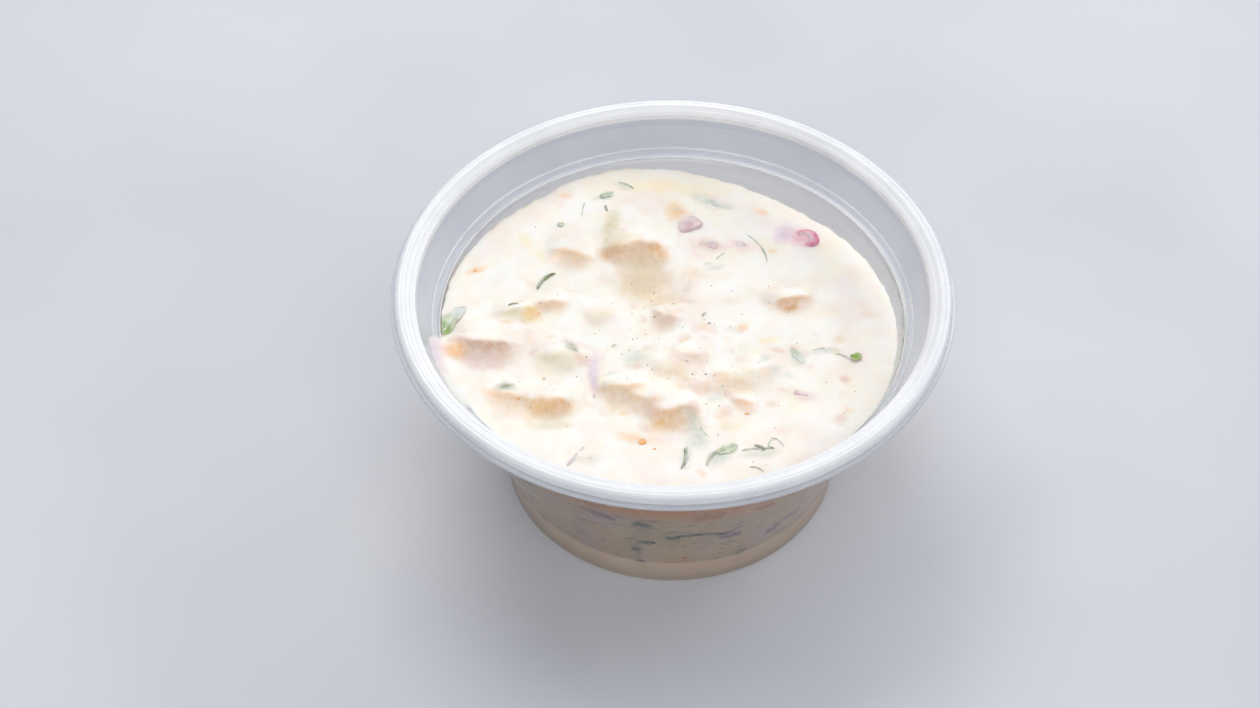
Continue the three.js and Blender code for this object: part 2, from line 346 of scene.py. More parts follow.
@dataclass(frozen=True)
class PlasticFinish:
    """Milky polypropylene: the thicker it is, the whiter and the less clear."""

    name: str
    tint: Hue
    shade: Hue
    clearness: float
    roughness: float
    passing: float
    ridges: float = 0.1
    glow: float = 0.0
    ring_width: float = 0.32
    ring_depth: float = 0.04

    def material(self) -> bpy.types.Material:
        """Builds the plastic: cloudy tone, moulded skin and, where thick, soft light inside."""
        shader = Shader(self.name)
        tint, shade = srgb(*self.tint), srgb(*self.shade)
        tone = shader.mix(shader.spread(shader.grain(9.0, 2.0), (0.3, 0.7)), tint, shade)
        rings = shader.rings(self.ring_width)
        shader.feed("Base Color", shader.mix(shader.spread(rings, (0.42, 0.66)), tone, shade))
        shader.bump(rings, self.ring_depth, self.ridges)
        skin = (self.roughness * 0.92, self.roughness * 1.1)
        shader.feed("Roughness", shader.spread(shader.grain(7.0, 1.0), (0.3, 0.7), skin))
        shader.set(Metallic=0.0, IOR=1.49, Specular_IOR_Level=0.4, Transmission_Weight=self.clearness)
        if self.glow:
            shader.soften(0.4, self.glow, (1.0, 1.0, 1.0))
        shader.let_light_pass(self.passing, tint)
        return shader.material


class Plastic(Enum):
    """The cup's plastic at its four thicknesses."""

    BODY = PlasticFinish("cup_wall_plastic", (240, 238, 236), (232, 231, 230), 0.94, 0.22, 0.75)
    COLLAR = PlasticFinish("cup_collar_plastic", (236, 238, 242), (224, 227, 233), 0.5, 0.18, 0.6, 0.3)
    CROWN = PlasticFinish("cup_rim_plastic", (254, 254, 252), (235, 236, 238), 0.03, 0.28, 0.2, 0.5, 0.5)
    FOOT = PlasticFinish("cup_foot_plastic", (241, 221, 200), (231, 209, 188), 0.45, 0.34, 0.5)


@dataclass(frozen=True)
class SauceFinish:
    """Thick cream that shows the stains of what lies just under its surface, and painted shade."""

    name: str = "tartar_cream"
    light: Colour = CREAM
    deep: Colour = srgb(249, 238, 222)
    smudges: tuple[tuple[float, float, float, Colour], ...] = (
        (3.0, 2.4, 0.62, srgb(118, 118, 64)),
        (2.4, 1.4, 0.64, srgb(140, 98, 104)),
        (1.5, 1.2, 0.68, srgb(214, 136, 76)),
    )

    def material(self) -> bpy.types.Material:
        """Builds the cream: clouds of fat, stains and painted shade from the mesh, moist gloss and fine
        grain.
        """
        shader = Shader(self.name)
        clouds = shader.spread(shader.grain(3.2), (0.35, 0.7))
        cream = shader.mix(clouds, self.light, self.deep)
        # The mesh's colour attribute holds the stains of bits and painted shade.
        stain = shader.attribute("stain")
        broken = shader.spread(shader.grain(0.7), (0.3, 0.62), (0.65, 1.0))
        amount = shader.times(stain.outputs["Alpha"], broken)
        tone = shader.mix(amount, cream, stain.outputs["Color"])
        beside = shader.attribute("beside").outputs["Fac"]
        for size, stretch, cover, smudge in self.smudges:
            flecks = shader.spread(shader.flecks(size, stretch), (cover, cover + 0.12), (0, 0.55))
            tone = shader.mix(shader.times(flecks, beside), tone, smudge)
        shader.feed("Base Color", tone)
        fine = shader.grain(0.42, 4.0, 0.6)
        shader.feed("Roughness", shader.spread(fine, (0.3, 0.7), (0.34, 0.46)))
        shader.bump(fine, 0.03, 0.5)
        shader.soften(0.6, 0.8, (1.0, 0.66, 0.42))
        shader.set(Coat_Weight=0.12, Coat_Roughness=0.3, IOR=1.42)
        return shader.material


@dataclass(frozen=True)
class BitFinish:
    """A wet bit of vegetable or herb with sauce clinging to it in patches.

    The skin attribute brings in the edge colour: an onion's skin, or a leaf's paler end.
    """

    name: str
    dark: Hue
    light: Hue
    edge: Hue
    grain_size: float
    film: float
    roughness: float = 0.36
    patch: float = 0.9

    def material(self) -> bpy.types.Material:
        """Builds the bit: streaked flesh, its edge colour and the film of sauce."""
        shader = Shader(self.name)
        streaks = shader.spread(shader.grain(self.grain_size), (0.34, 0.66))
        flesh = shader.mix(streaks, srgb(*self.dark), srgb(*self.light))
        flesh = shader.mix(shader.attribute("skin").outputs["Fac"], flesh, srgb(*self.edge))
        inputs = {
            "Colour": flesh, "Film": CREAM, "Amount": self.film,
            "Scale": 1 / (self.patch * MM), "Place": shader.place,
        }
        film = shader.add("Group", inputs, node_tree=cream_film())
        shader.feed("Base Color", film.outputs["Colour"])
        rough = (self.roughness * 0.9, self.roughness * 1.15)
        shader.feed("Roughness", shader.spread(film.outputs["Mask"], (0, 1), rough))
        shader.bump(shader.grain(self.grain_size * 0.4, 2.0), 0.03, 0.5)
        shader.soften(0.35, 0.5, (1.0, 0.8, 0.5))
        shader.set(Coat_Weight=0.2, Coat_Roughness=0.25)
        return shader.material


class Bit(Enum):
    """The kinds of bit in the sauce."""

    DILL = BitFinish("dill_green", (94, 106, 58), (140, 150, 100), (202, 206, 184), 0.8, 0.4)
    PARSLEY = BitFinish("parsley_green", (118, 154, 56), (166, 190, 104), (216, 222, 208), 1.1, 0.4)
    ONION = BitFinish("red_onion", (212, 190, 188), (228, 210, 208), (214, 96, 146), 0.9, 0.25)
    PICKLE = BitFinish("pickle_bits", (222, 184, 150), (238, 208, 180), (206, 160, 124), 0.8, 0.6)
    CARROT = BitFinish("carrot_bits", (234, 158, 78), (244, 188, 112), (222, 138, 70), 0.6, 0.4)
    PEPPER = BitFinish("pepper_specks", (96, 82, 70), (150, 128, 104), (180, 160, 138), 0.5, 0.35, 0.6)
    WALL_GREEN = BitFinish("wall_green", (66, 80, 38), (100, 110, 62), (130, 138, 100), 1.0, 0.35)
    WALL_ONION = BitFinish("wall_onion", (136, 86, 112), (176, 130, 146), (190, 150, 160), 1.2, 0.4)
    WALL_PICKLE = BitFinish("wall_pickle", (214, 134, 66), (230, 166, 100), (232, 190, 140), 1.0, 0.2)


@dataclass(frozen=True)
class FloorFinish:
    """A plain pale matt surface."""

    light: Colour = srgb(214, 216, 220)
    dark: Colour = srgb(206, 208, 213)

    def material(self) -> bpy.types.Material:
        """Builds the floor's paper-like tone."""
        shader = Shader("plain_floor")
        tone = shader.spread(shader.grain(60.0, 2.0), (0.35, 0.65))
        shader.feed("Base Color", shader.mix(tone, self.light, self.dark))
        shader.set(Roughness=0.75)
        return shader.material


# ---- Meshes ----


def new_mesh(
    name: str, draft: bmesh.types.BMesh, materials: list[bpy.types.Material]
) -> bpy.types.Mesh:
    """Turns a draft in millimetres into a mesh in metres.

    Args:
        name: the mesh's name.
        draft: its shape in millimetres, which is used up.
        materials: its materials, in the order of its faces' numbers.

    Returns:
        The mesh.
    """
    bmesh.ops.scale(draft, vec=(MM, MM, MM), verts=draft.verts)
    mesh = bpy.data.meshes.new(name)
    draft.to_mesh(mesh)
    draft.free()
    for material in materials:
        mesh.materials.append(material)
    return mesh


def new_object(name: str, data: bpy.types.ID) -> bpy.types.Object:
    """Puts an object that holds a mesh, a light or a camera into the scene."""
    made = bpy.data.objects.new(name, data)
    bpy.context.scene.collection.objects.link(made)
    return made


def new_piece(name: str, mesh: bpy.types.Mesh, crease: float) -> bpy.types.Object:
    """Makes a finished piece, at the origin, that rides on the pot.

    Args:
        name: the piece's name.
        mesh: its mesh, in metres.
        crease: edges that turn by more than this, in degrees, stay sharp.

    Returns:
        The piece.
    """
    mesh.shade_smooth()
    mesh.set_sharp_from_angle(angle=math.radians(crease))
    piece = new_object(name, mesh)
    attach(piece, "root")
    log.info("%s: %d faces", name, len(mesh.polygons))
    return piece


def new_shape() -> bmesh.types.BMesh:
    """Starts a small shape that carries a skin value on each point."""
    shape = bmesh.new()
    shape.verts.layers.float.new("skin")
    return shape


def turn(shape: bmesh.types.BMesh, degrees: float, axis: str = "Z") -> None:
    """Turns a shape about an axis through the origin."""
    around = Matrix.Rotation(math.radians(degrees), 3, axis)
    bmesh.ops.rotate(shape, verts=shape.verts, cent=(0, 0, 0), matrix=around)


def new_heap(kind: Bit, shapes: Iterable[bmesh.types.BMesh]) -> bpy.types.Object:
    """Joins many small shapes into the finished piece of one kind of bit.

    Args:
        kind: which kind it is.
        shapes: its shapes, in place and in millimetres, which are used up.

    Returns:
        The piece.
    """
    draft = new_shape()
    for shape in shapes:
        part = bpy.data.meshes.new("part")
        shape.to_mesh(part)
        shape.free()
        draft.from_mesh(part)
        bpy.data.meshes.remove(part)
    bmesh.ops.recalc_face_normals(draft, faces=draft.faces)
    name = kind.name.lower()
    return new_piece(name, new_mesh(name, draft, [kind.value.material()]), 60)


# ---- The cup ----


@dataclass
class Cup:
    """The moulded cup. Its radii and heights are in millimetres."""

    lip_radius: float
    height: float
    wall: float = 0.6
    crown_rise: float = 1.25
    ledge_drop: float = 4.23
    ledge_radius: float = 28.98
    ledge_width: float = 0.52
    ledge_riser: float = 0.7
    upper_radius: float = 29.98
    mouth_radius: float = 31.8
    foot_radius: float = 21.3
    foot_top_radius: float = 21.53
    foot_height: float = 3.84
    floor_height: float = 1.1
    recess: float = 0.5
    ring_width: float = 2.4
    turns: int = 256

    @property
    def lip(self) -> float:
        """Height of the lip's top plane."""
        return self.height - self.crown_rise

    @property
    def ledge(self) -> float:
        """Height of the stacking ledge."""
        return self.lip - self.ledge_drop

    def inner_radius(self, z: np.ndarray | float) -> np.ndarray | float:
        """Radius of the wall's inner face at a height, from the floor to the mouth."""
        heights, radii = zip(
            (0, self.foot_radius - self.wall),
            (self.foot_height, self.foot_top_radius - self.wall),
            (self.ledge, self.ledge_radius),
            (self.ledge + 0.05, self.ledge_radius + self.ledge_width),
            (self.ledge + self.ledge_riser, self.upper_radius),
            (self.lip, self.mouth_radius),
        )
        return np.interp(z, heights, radii)

    def outline(self) -> list[tuple[float, float, float]]:
        """Lists the wall's corners as radius, height and rounding.

        Returns:
            The corners, from the axis under the floor out and up the outer face, over the rim
            and down the inner face to the axis.
        """
        lip, top, ledge, wall = self.lip, self.height, self.ledge, self.wall
        ring = self.foot_radius - 0.45 - self.ring_width
        return [
            (0, self.recess, 0),
            (ring - self.recess, self.recess, 0.25),
            (ring, 0, 0.2),
            (self.foot_radius, 0, 0.3),
            (self.foot_radius + 0.07, self.floor_height + 0.1, 0),
            (self.foot_top_radius, self.foot_height, 0.12),
            (self.ledge_radius + wall, ledge - wall / 2, 0.2),
            (self.ledge_radius + wall + self.ledge_width, ledge - wall / 3, 0.2),
            (self.upper_radius + wall, ledge + self.ledge_riser - wall / 4, 0.2),
            (self.mouth_radius + wall, lip - 0.35, 0.25),
            (self.mouth_radius + wall * 1.5, lip - 0.1, 0.12),
            (self.lip_radius - 0.8, lip - 0.1, 0.06),
            (self.lip_radius - 0.6, lip - 0.35, 0.08),
            (self.lip_radius, lip - 0.35, 0.1),
            (self.lip_radius, lip, 0.13),
            (self.lip_radius - 0.5, lip + 0.12, 0.1),
            (self.lip_radius - 0.6, top - 0.35, 0.15),
            (self.lip_radius - 0.95, top, 0.25),
            *self.groove(self.lip_radius - 1.35, top),
            (self.mouth_radius + 1.4, top, 0.2),
            *self.groove(self.mouth_radius + 0.8, top - 0.26),
            (self.mouth_radius + 0.05, top - 0.6, 0.12),
            (self.mouth_radius, lip + 0.12, 0.1),
            (self.upper_radius, ledge + self.ledge_riser, 0.12),
            (self.ledge_radius + self.ledge_width, ledge + 0.05, 0.08),
            (self.ledge_radius, ledge, 0.12),
            (self.ledge_radius + 0.14, ledge - 0.32, 0.08),
            (self.ledge_radius - 0.2, ledge - 0.62, 0.08),
            (self.foot_top_radius - wall, self.foot_height, 0.5),
            (self.foot_radius - wall, self.floor_height, 0.7),
            (0, self.floor_height, 0),
        ]

    def groove(self, radius: float, z: float) -> list[tuple[float, float, float]]:
        """Lists the corners of a fine turned line in the rim's top."""
        half, deep = 0.09, 0.08
        return [(radius + half, z, 0.03), (radius, z - deep, 0.02), (radius - half, z, 0.03)]

    def draft(self) -> bmesh.types.BMesh:
        """Rounds the outline's corners and spins it about the axis."""
        draft = bmesh.new()
        corners = self.outline()
        points = [draft.verts.new((radius, 0, z)) for radius, z, _ in corners]
        for first, second in zip(points, points[1:]):
            draft.edges.new((first, second))
        for point, (_, _, rounding) in zip(points, corners):
            if rounding:
                bmesh.ops.bevel(
                    draft, geom=[point], offset=rounding, offset_type="OFFSET", segments=4,
                    profile=0.5, affect="VERTICES", clamp_overlap=True, material=-1,
                )
        bmesh.ops.spin(
            draft, geom=draft.verts[:] + draft.edges[:], cent=(0, 0, 0), axis=(0, 0, 1), dvec=(0, 0, 0),
            angle=2 * math.pi, steps=self.turns, use_merge=True, use_duplicate=False,
        )
        bmesh.ops.remove_doubles(draft, verts=draft.verts, dist=1e-4)
        bmesh.ops.recalc_face_normals(draft, faces=draft.faces)
        return draft

    def zone(self, radius: float, z: float) -> Plastic:
        """Tells how thick, and so how milky, the plastic is at a place.

        Args:
            radius: distance from the axis.
            z: height.

        Returns:
            The plastic's finish there. The ledge's fine corners are as milky as the crown.
        """
        if z < self.foot_height - 0.05:
            return Plastic.FOOT
        if radius > self.lip_radius - 0.52 and z < self.lip + 0.2:
            return Plastic.COLLAR
        crown = radius > self.mouth_radius - 0.15 and z > self.lip - 0.12
        inner_corner = abs(z - self.ledge + 0.04) < 0.13 and radius < self.ledge_radius + 0.16
        outer_corner = abs(z - self.ledge - self.ledge_riser) < 0.1 and radius < self.upper_radius + 0.1
        if crown or inner_corner or outer_corner:
            return Plastic.CROWN
        return Plastic.COLLAR if z > self.ledge - 0.45 else Plastic.BODY

    def build(self) -> bpy.types.Object:
        """Makes the cup, milkier where it is thicker."""
        draft = self.draft()
        zones = list(Plastic)
        for face in draft.faces:
            middle = face.calc_center_median()
            face.material_index = zones.index(self.zone(math.hypot(middle.x, middle.y), middle.z))
        mesh = new_mesh("cup_moulding", draft, [plastic.value.material() for plastic in zones])
        piece = new_piece("cup_moulding", mesh, 75)
        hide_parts("cup")
        return piece


# ---- The sauce ----


class Mark:
    """Something that lies in the top of the sauce, at x and y and turned by some degrees."""

    x: float
    y: float
    turn: float

    def measure(self, x: np.ndarray, y: np.ndarray) -> tuple[np.ndarray, np.ndarray]:
        """Measures places from its middle, along its direction and across it."""
        angle = math.radians(self.turn)
        along = (x - self.x) * math.cos(angle) + (y - self.y) * math.sin(angle)
        across = (y - self.y) * math.cos(angle) - (x - self.x) * math.sin(angle)
        return along, across


@dataclass(frozen=True)
class Lump(Mark):
    """A chunk that lifts the sauce, or a hollow where rise is below 0.

    A chunk's top ends at a crest towards the front. A crisp one falls off steeply there and
    runs out gently, and one that isn't is round all over. Its tint is painted shade on the face
    under the crest, partly the chunk's own colour through the thin sauce there.
    """

    x: float
    y: float
    wide: float
    front: float
    back: float
    rise: float
    tint: Colour = (0.0, 0.0, 0.0, 0.0)
    shade: float = 0.0
    turn: float = 0.0
    crisp: float = 0.85
    bow: float = 0.9
    soft: float = 0.45

    def reach(self, x: np.ndarray, y: np.ndarray) -> tuple[np.ndarray, np.ndarray]:
        """Measures places from the crest: to the side as a share of its width, and ahead of it."""
        along, across = self.measure(x, y)
        side = np.minimum(np.abs(along) / self.wide, 1)
        return side, self.bow * side * side - across

    def height(self, x: np.ndarray, y: np.ndarray) -> np.ndarray:
        """What it adds to the surface: its full rise on its crest, and nothing past its reach."""
        side, ahead = self.reach(x, y)
        fall = np.clip((np.hypot(ahead, self.soft) - self.soft) / self.front, 0, 1)
        drop = self.crisp * (1 - fall) ** 2.2 + (1 - self.crisp) * (1 - fall * fall) ** 2
        climb = (1 - np.clip(-ahead / self.back, 0, 1) ** 2) ** 2
        return self.rise * np.where(ahead > 0, drop, climb) * (1 - side * side) ** 1.5

    def face(self, x: np.ndarray, y: np.ndarray) -> np.ndarray:
        """How strongly its painted shade shows: most just under the crest, less and less to its foot."""
        side, ahead = self.reach(x, y)
        fade = (1 - np.clip(ahead / (1.15 * self.front), 0, 1)) ** 1.2
        under = soft_step(ahead, -self.soft, 1.6 * self.soft)
        return self.shade * under * fade * (1 - soft_step(side, 0.4, 1.0))


@dataclass(frozen=True)
class Stain(Mark):
    """A soft patch of colour on the top: some show what lies just under the surface, some are painted shade
    in hollows and under crests.
    """

    x: float
    y: float
    length: float
    width: float
    turn: float
    colour: Colour
    strength: float

    def weight(self, x: np.ndarray, y: np.ndarray, wobble: np.ndarray) -> np.ndarray:
        """How strongly it shows at each place, with an uneven edge."""
        along, across = self.measure(x, y)
        share = np.hypot(along / (self.length / 2), across / (self.width / 2)) * (1 + 0.35 * wobble)
        return self.strength * (1 - soft_step(share, 0.1, 1.45))


# Bearings in degrees, and how far below the lip the sauce meets the wall there.
EDGE_DROPS = [
    (0, 6.6), (15, 6.8), (25, 7.1), (37, 7.35), (50, 7.7), (60, 7.6), (72, 7.1), (82, 6.5), (90, 6.0),
    (97, 5.5), (110, 5.4), (124, 5.5), (132, 5.8), (140, 5.6), (155, 5.2), (168, 4.95), (180, 4.85),
    (200, 4.95), (220, 5.2), (240, 5.4), (270, 5.7), (300, 6.0), (330, 6.4), (345, 6.5), (360, 6.6),
]

TAN = srgb(232, 192, 142)
RUST = srgb(226, 176, 122)
BEIGE = srgb(238, 220, 192)
SAND = srgb(230, 208, 170)
ROSE_TAN = srgb(224, 190, 168)
BROWN = srgb(204, 164, 138)
OCHRE = srgb(240, 204, 138)
ORANGE = srgb(244, 190, 124)
PALE_OLIVE = srgb(220, 208, 170)
OLIVE = srgb(208, 196, 162)
# Painted glow: light seen through the sauce under the rim.
GLOW = srgb(244, 164, 86)
GREY_GREEN = srgb(200, 208, 192)
DARK_GREEN = srgb(140, 152, 120)
LILAC = srgb(216, 192, 214)
PINK = srgb(240, 214, 210)
ROSE = srgb(230, 162, 186)
BUTTER = srgb(252, 234, 200)

# Chunks and hollows under the top. The tints are painted shade under each chunk's crest, partly the chunk's
# own colour through the thin sauce.
LUMPS = [
    Lump(-13.0, 12.1, 4.0, 2.8, 6.0, 1.2, TAN, 0.9, -16),
    Lump(-4.4, 13.2, 5.4, 2.5, 7.0, 1.8, RUST, 0.95, 3, soft=0.55),
    Lump(-3.4, 6.4, 6.2, 4.4, 5.6, -1.5, crisp=0.0, bow=0.0),
    Lump(-1.0, 3.2, 4.6, 3.6, 1.6, 0.5, crisp=0.0, bow=-0.6, turn=8),
    Lump(-23.6, -4.7, 5.8, 3.8, 6.6, 2.0, BROWN, 1.0, -2, soft=0.45, bow=1.7),
    Lump(-19.5, 2.1, 3.0, 2.4, 3.0, 0.9, PALE_OLIVE, 1.0, 4, bow=0.4),
    Lump(-15.0, 3.5, 2.6, 1.5, 3.2, 0.8, RUST, 0.8, 14, soft=0.35),
    Lump(-9.4, 2.4, 2.8, 2.2, 2.8, 0.6, BEIGE, 1.0, 4, 0.4, soft=0.8),
    Lump(-14.4, -5.6, 4.0, 3.4, 5.0, 1.2, PALE_OLIVE, 1.0, -4, 0.5, soft=0.8),
    Lump(-20.3, -12.8, 3.6, 3.4, 4.0, 1.1, TAN, 1.0, -10, 0.6, 1.6, 0.6),
    Lump(-14.8, -14.4, 3.9, 2.2, 5.4, 2.0, ORANGE, 0.95, 2, 0.95, 2.4, 0.4),
    Lump(-6.5, -11.1, 3.8, 2.0, 4.2, 1.2, TAN, 1.0, 2, bow=1.7, soft=0.4),
    Lump(-3.4, -12.6, 3.2, 3.2, 5.0, 1.3, TAN, 0.7, -24, soft=0.4),
    Lump(0.4, -14.9, 3.8, 3.2, 6.0, 1.6, RUST, 0.9, -2, 0.9, 1.1, 0.45),
    Lump(-1.0, 1.6, 2.0, 2.6, 2.4, 0.7, ROSE_TAN, 1.0, -20, soft=0.4),
    Lump(2.4, -5.0, 3.0, 2.4, 3.4, 0.7, ROSE_TAN, 0.8, -6, 0.5, soft=0.5),
    Lump(-0.3, -7.2, 2.6, 2.2, 3.0, 0.6, TAN, 0.6, 10, 0.5, soft=0.6),
    Lump(3.5, -9.2, 4.0, 2.4, 3.6, 0.6, ROSE_TAN, 0.6, 0, 0.4, soft=0.8),
    Lump(7.2, -9.0, 3.0, 2.8, 3.0, 0.7, TAN, 0.8, -10, 0.4, soft=0.7),
    Lump(10.6, -7.6, 3.0, 2.8, 3.0, 0.6, BEIGE, 0.9, -20, 0.5, soft=0.7),
    Lump(15.0, 4.6, 3.6, 2.6, 4.2, 1.3, RUST, 0.9, 14, soft=0.3),
    Lump(8.7, -13.0, 1.8, 1.8, 2.4, 0.6, ORANGE, 0.8, soft=0.3),
    Lump(16.2, 16.4, 3.2, 3.0, 2.6, 0.4, crisp=0.3, bow=0.0),
    Lump(-16.5, 9.6, 4.4, 3.4, 4.0, 0.5, crisp=0.0, bow=0.0),
    Lump(-23.0, 10.0, 5.0, 4.0, 5.0, 0.55, crisp=0.0, bow=0.0),
    Lump(8.5, 9.0, 7.0, 5.0, 6.0, 0.5, crisp=0.0, bow=0.0),
    Lump(9.5, -1.0, 4.6, 3.4, 4.0, 0.45, crisp=0.0, bow=0.0),
    Lump(19.5, 1.0, 4.0, 4.0, 4.0, 0.3, crisp=0.0, bow=0.0),
    Lump(16.0, -16.0, 6.0, 4.0, 4.0, 0.4, crisp=0.0, bow=0.0),
    Lump(-8.5, -20.0, 7.0, 4.0, 4.0, 0.35, crisp=0.0, bow=0.0),
    Lump(-4.0, 20.0, 4.0, 3.0, 3.0, 0.4, crisp=0.0, bow=0.0),
]

# Soft patches of colour on the top; those marked below are painted shade.
STAINS = [
    Stain(4.0, -22.0, 46.0, 9.0, 0, PINK, 0.16),
    # The next six are painted shade under the big mound's crests at the back left, in the hollow before it
    # and in the valley beside it.
    Stain(-7.8, 12.2, 2.6, 2.4, 20, RUST, 0.8),
    Stain(-3.2, 8.6, 8.6, 8.4, 0, SAND, 0.9),
    Stain(-6.8, 13.6, 4.4, 3.4, 0, SAND, 0.6),
    Stain(-1.6, 12.4, 3.4, 1.6, 0, ORANGE, 0.6),
    Stain(3.0, 9.4, 5.6, 3.0, -30, BEIGE, 0.5),
    Stain(-7.6, 17.4, 2.4, 6.0, -6, PALE_OLIVE, 0.9),
    Stain(-18.9, 15.2, 1.8, 5.0, 15, BUTTER, 0.8),
    Stain(-17.2, 12.5, 1.6, 3.0, 25, BUTTER, 0.7),
    Stain(-17.4, 1.6, 1.8, 3.2, -25, OCHRE, 1.0),
    # The next two are painted shade under the long lump at the left.
    Stain(-23.4, -7.4, 6.0, 3.0, 2, PINK, 0.6),
    Stain(-27.0, -6.2, 2.6, 3.0, 0, ORANGE, 0.8),
    Stain(-29.6, -7.4, 3.0, 9.0, 14, LILAC, 0.5),
    # The next four are painted shade under the lumps at the front left and front middle.
    Stain(-16.6, -15.0, 3.2, 2.6, 0, OCHRE, 0.6),
    Stain(-14.8, -17.2, 5.0, 1.8, 0, PALE_OLIVE, 0.6),
    Stain(-6.6, -13.2, 5.0, 3.4, 10, BEIGE, 0.9),
    Stain(-1.2, -16.6, 5.0, 2.8, -8, OCHRE, 0.5),
    Stain(-1.2, -16.2, 1.2, 0.9, 0, OCHRE, 0.8),
    Stain(-6.1, -14.9, 1.2, 0.9, 0, OCHRE, 0.7),
    # The next two are painted shade in the shallow hollows at the front.
    Stain(0.2, -7.8, 7.5, 3.6, 0, BEIGE, 0.6),
    Stain(8.4, -10.4, 6.0, 3.6, 0, BEIGE, 0.6),
    Stain(3.0, -10.8, 3.6, 2.4, 0, ROSE_TAN, 0.4),
    Stain(12.2, -2.2, 3.6, 1.4, 20, BUTTER, 0.9),
    Stain(7.6, 4.4, 3.4, 2.4, 0, BEIGE, 0.4),
    Stain(8.9, -0.2, 1.6, 1.2, 0, ORANGE, 0.6),
    # Painted shade under the lump on the right, partly the brown chunk in it.
    Stain(15.0, 3.1, 2.6, 1.5, 20, RUST, 0.9),
    Stain(21.0, -9.0, 1.5, 1.2, 0, ROSE_TAN, 0.8),
    Stain(20.7, -15.2, 2.6, 1.8, 40, ROSE_TAN, 0.6),
    Stain(15.9, -11.2, 3.6, 2.2, -15, PINK, 0.8),
    Stain(12.2, 21.6, 2.4, 1.3, -20, ORANGE, 0.5),
    Stain(-4.6, -19.2, 5.4, 2.0, -10, ORANGE, 0.6),
    Stain(0.6, 20.8, 2.8, 3.2, 20, ORANGE, 0.8),
    Stain(-1.6, 25.2, 15.0, 3.0, -2, BUTTER, 0.9),
    Stain(4.6, 23.4, 4.6, 2.3, -25, GREY_GREEN, 0.6),
    Stain(7.2, 21.9, 2.6, 1.5, -10, GREY_GREEN, 0.6),
    Stain(2.8, -18.0, 2.6, 6.4, 25, GREY_GREEN, 0.8),
    Stain(1.4, -21.2, 1.8, 4.6, -10, GREY_GREEN, 0.6),
    Stain(5.4, -21.8, 4.0, 1.8, 50, GREY_GREEN, 0.8),
    Stain(10.6, -20.8, 5.0, 1.6, 10, GREY_GREEN, 0.6),
    Stain(-6.0, 25.0, 3.2, 1.2, -25, GREY_GREEN, 0.6),
    Stain(-8.4, 23.4, 2.6, 1.6, 20, GREY_GREEN, 0.8),
    Stain(19.4, -3.9, 4.4, 1.4, 5, GREY_GREEN, 0.7),
    Stain(15.5, -4.9, 1.9, 3.6, 20, GREY_GREEN, 0.8),
    Stain(-4.6, -5.6, 4.6, 3.6, 30, GREY_GREEN, 0.6),
    Stain(-20.6, -11.6, 2.4, 2.0, 0, DARK_GREEN, 0.8),
    Stain(-12.3, -4.4, 2.0, 3.0, 30, DARK_GREEN, 0.7),
    Stain(-11.3, -6.0, 2.2, 2.0, 0, ROSE_TAN, 0.8),
    Stain(15.4, 17.2, 3.8, 4.4, 0, LILAC, 0.9),
    Stain(17.4, 16.6, 4.6, 4.6, 0, PINK, 0.8),
    Stain(17.1, 16.4, 2.8, 2.6, 0, ROSE, 0.8),
    Stain(-9.6, -8.0, 1.7, 9.0, 4, LILAC, 0.7),
    Stain(2.0, 18.8, 4.4, 3.8, 30, PINK, 0.8),
    Stain(4.9, 15.1, 3.8, 2.6, -10, ROSE_TAN, 0.6),
    Stain(8.7, 15.2, 4.0, 2.4, 0, PINK, 0.9),
    Stain(-25.0, 8.7, 1.7, 1.4, 0, ORANGE, 0.7),
    Stain(-14.0, 23.2, 1.8, 1.4, 0, ORANGE, 0.5),
]


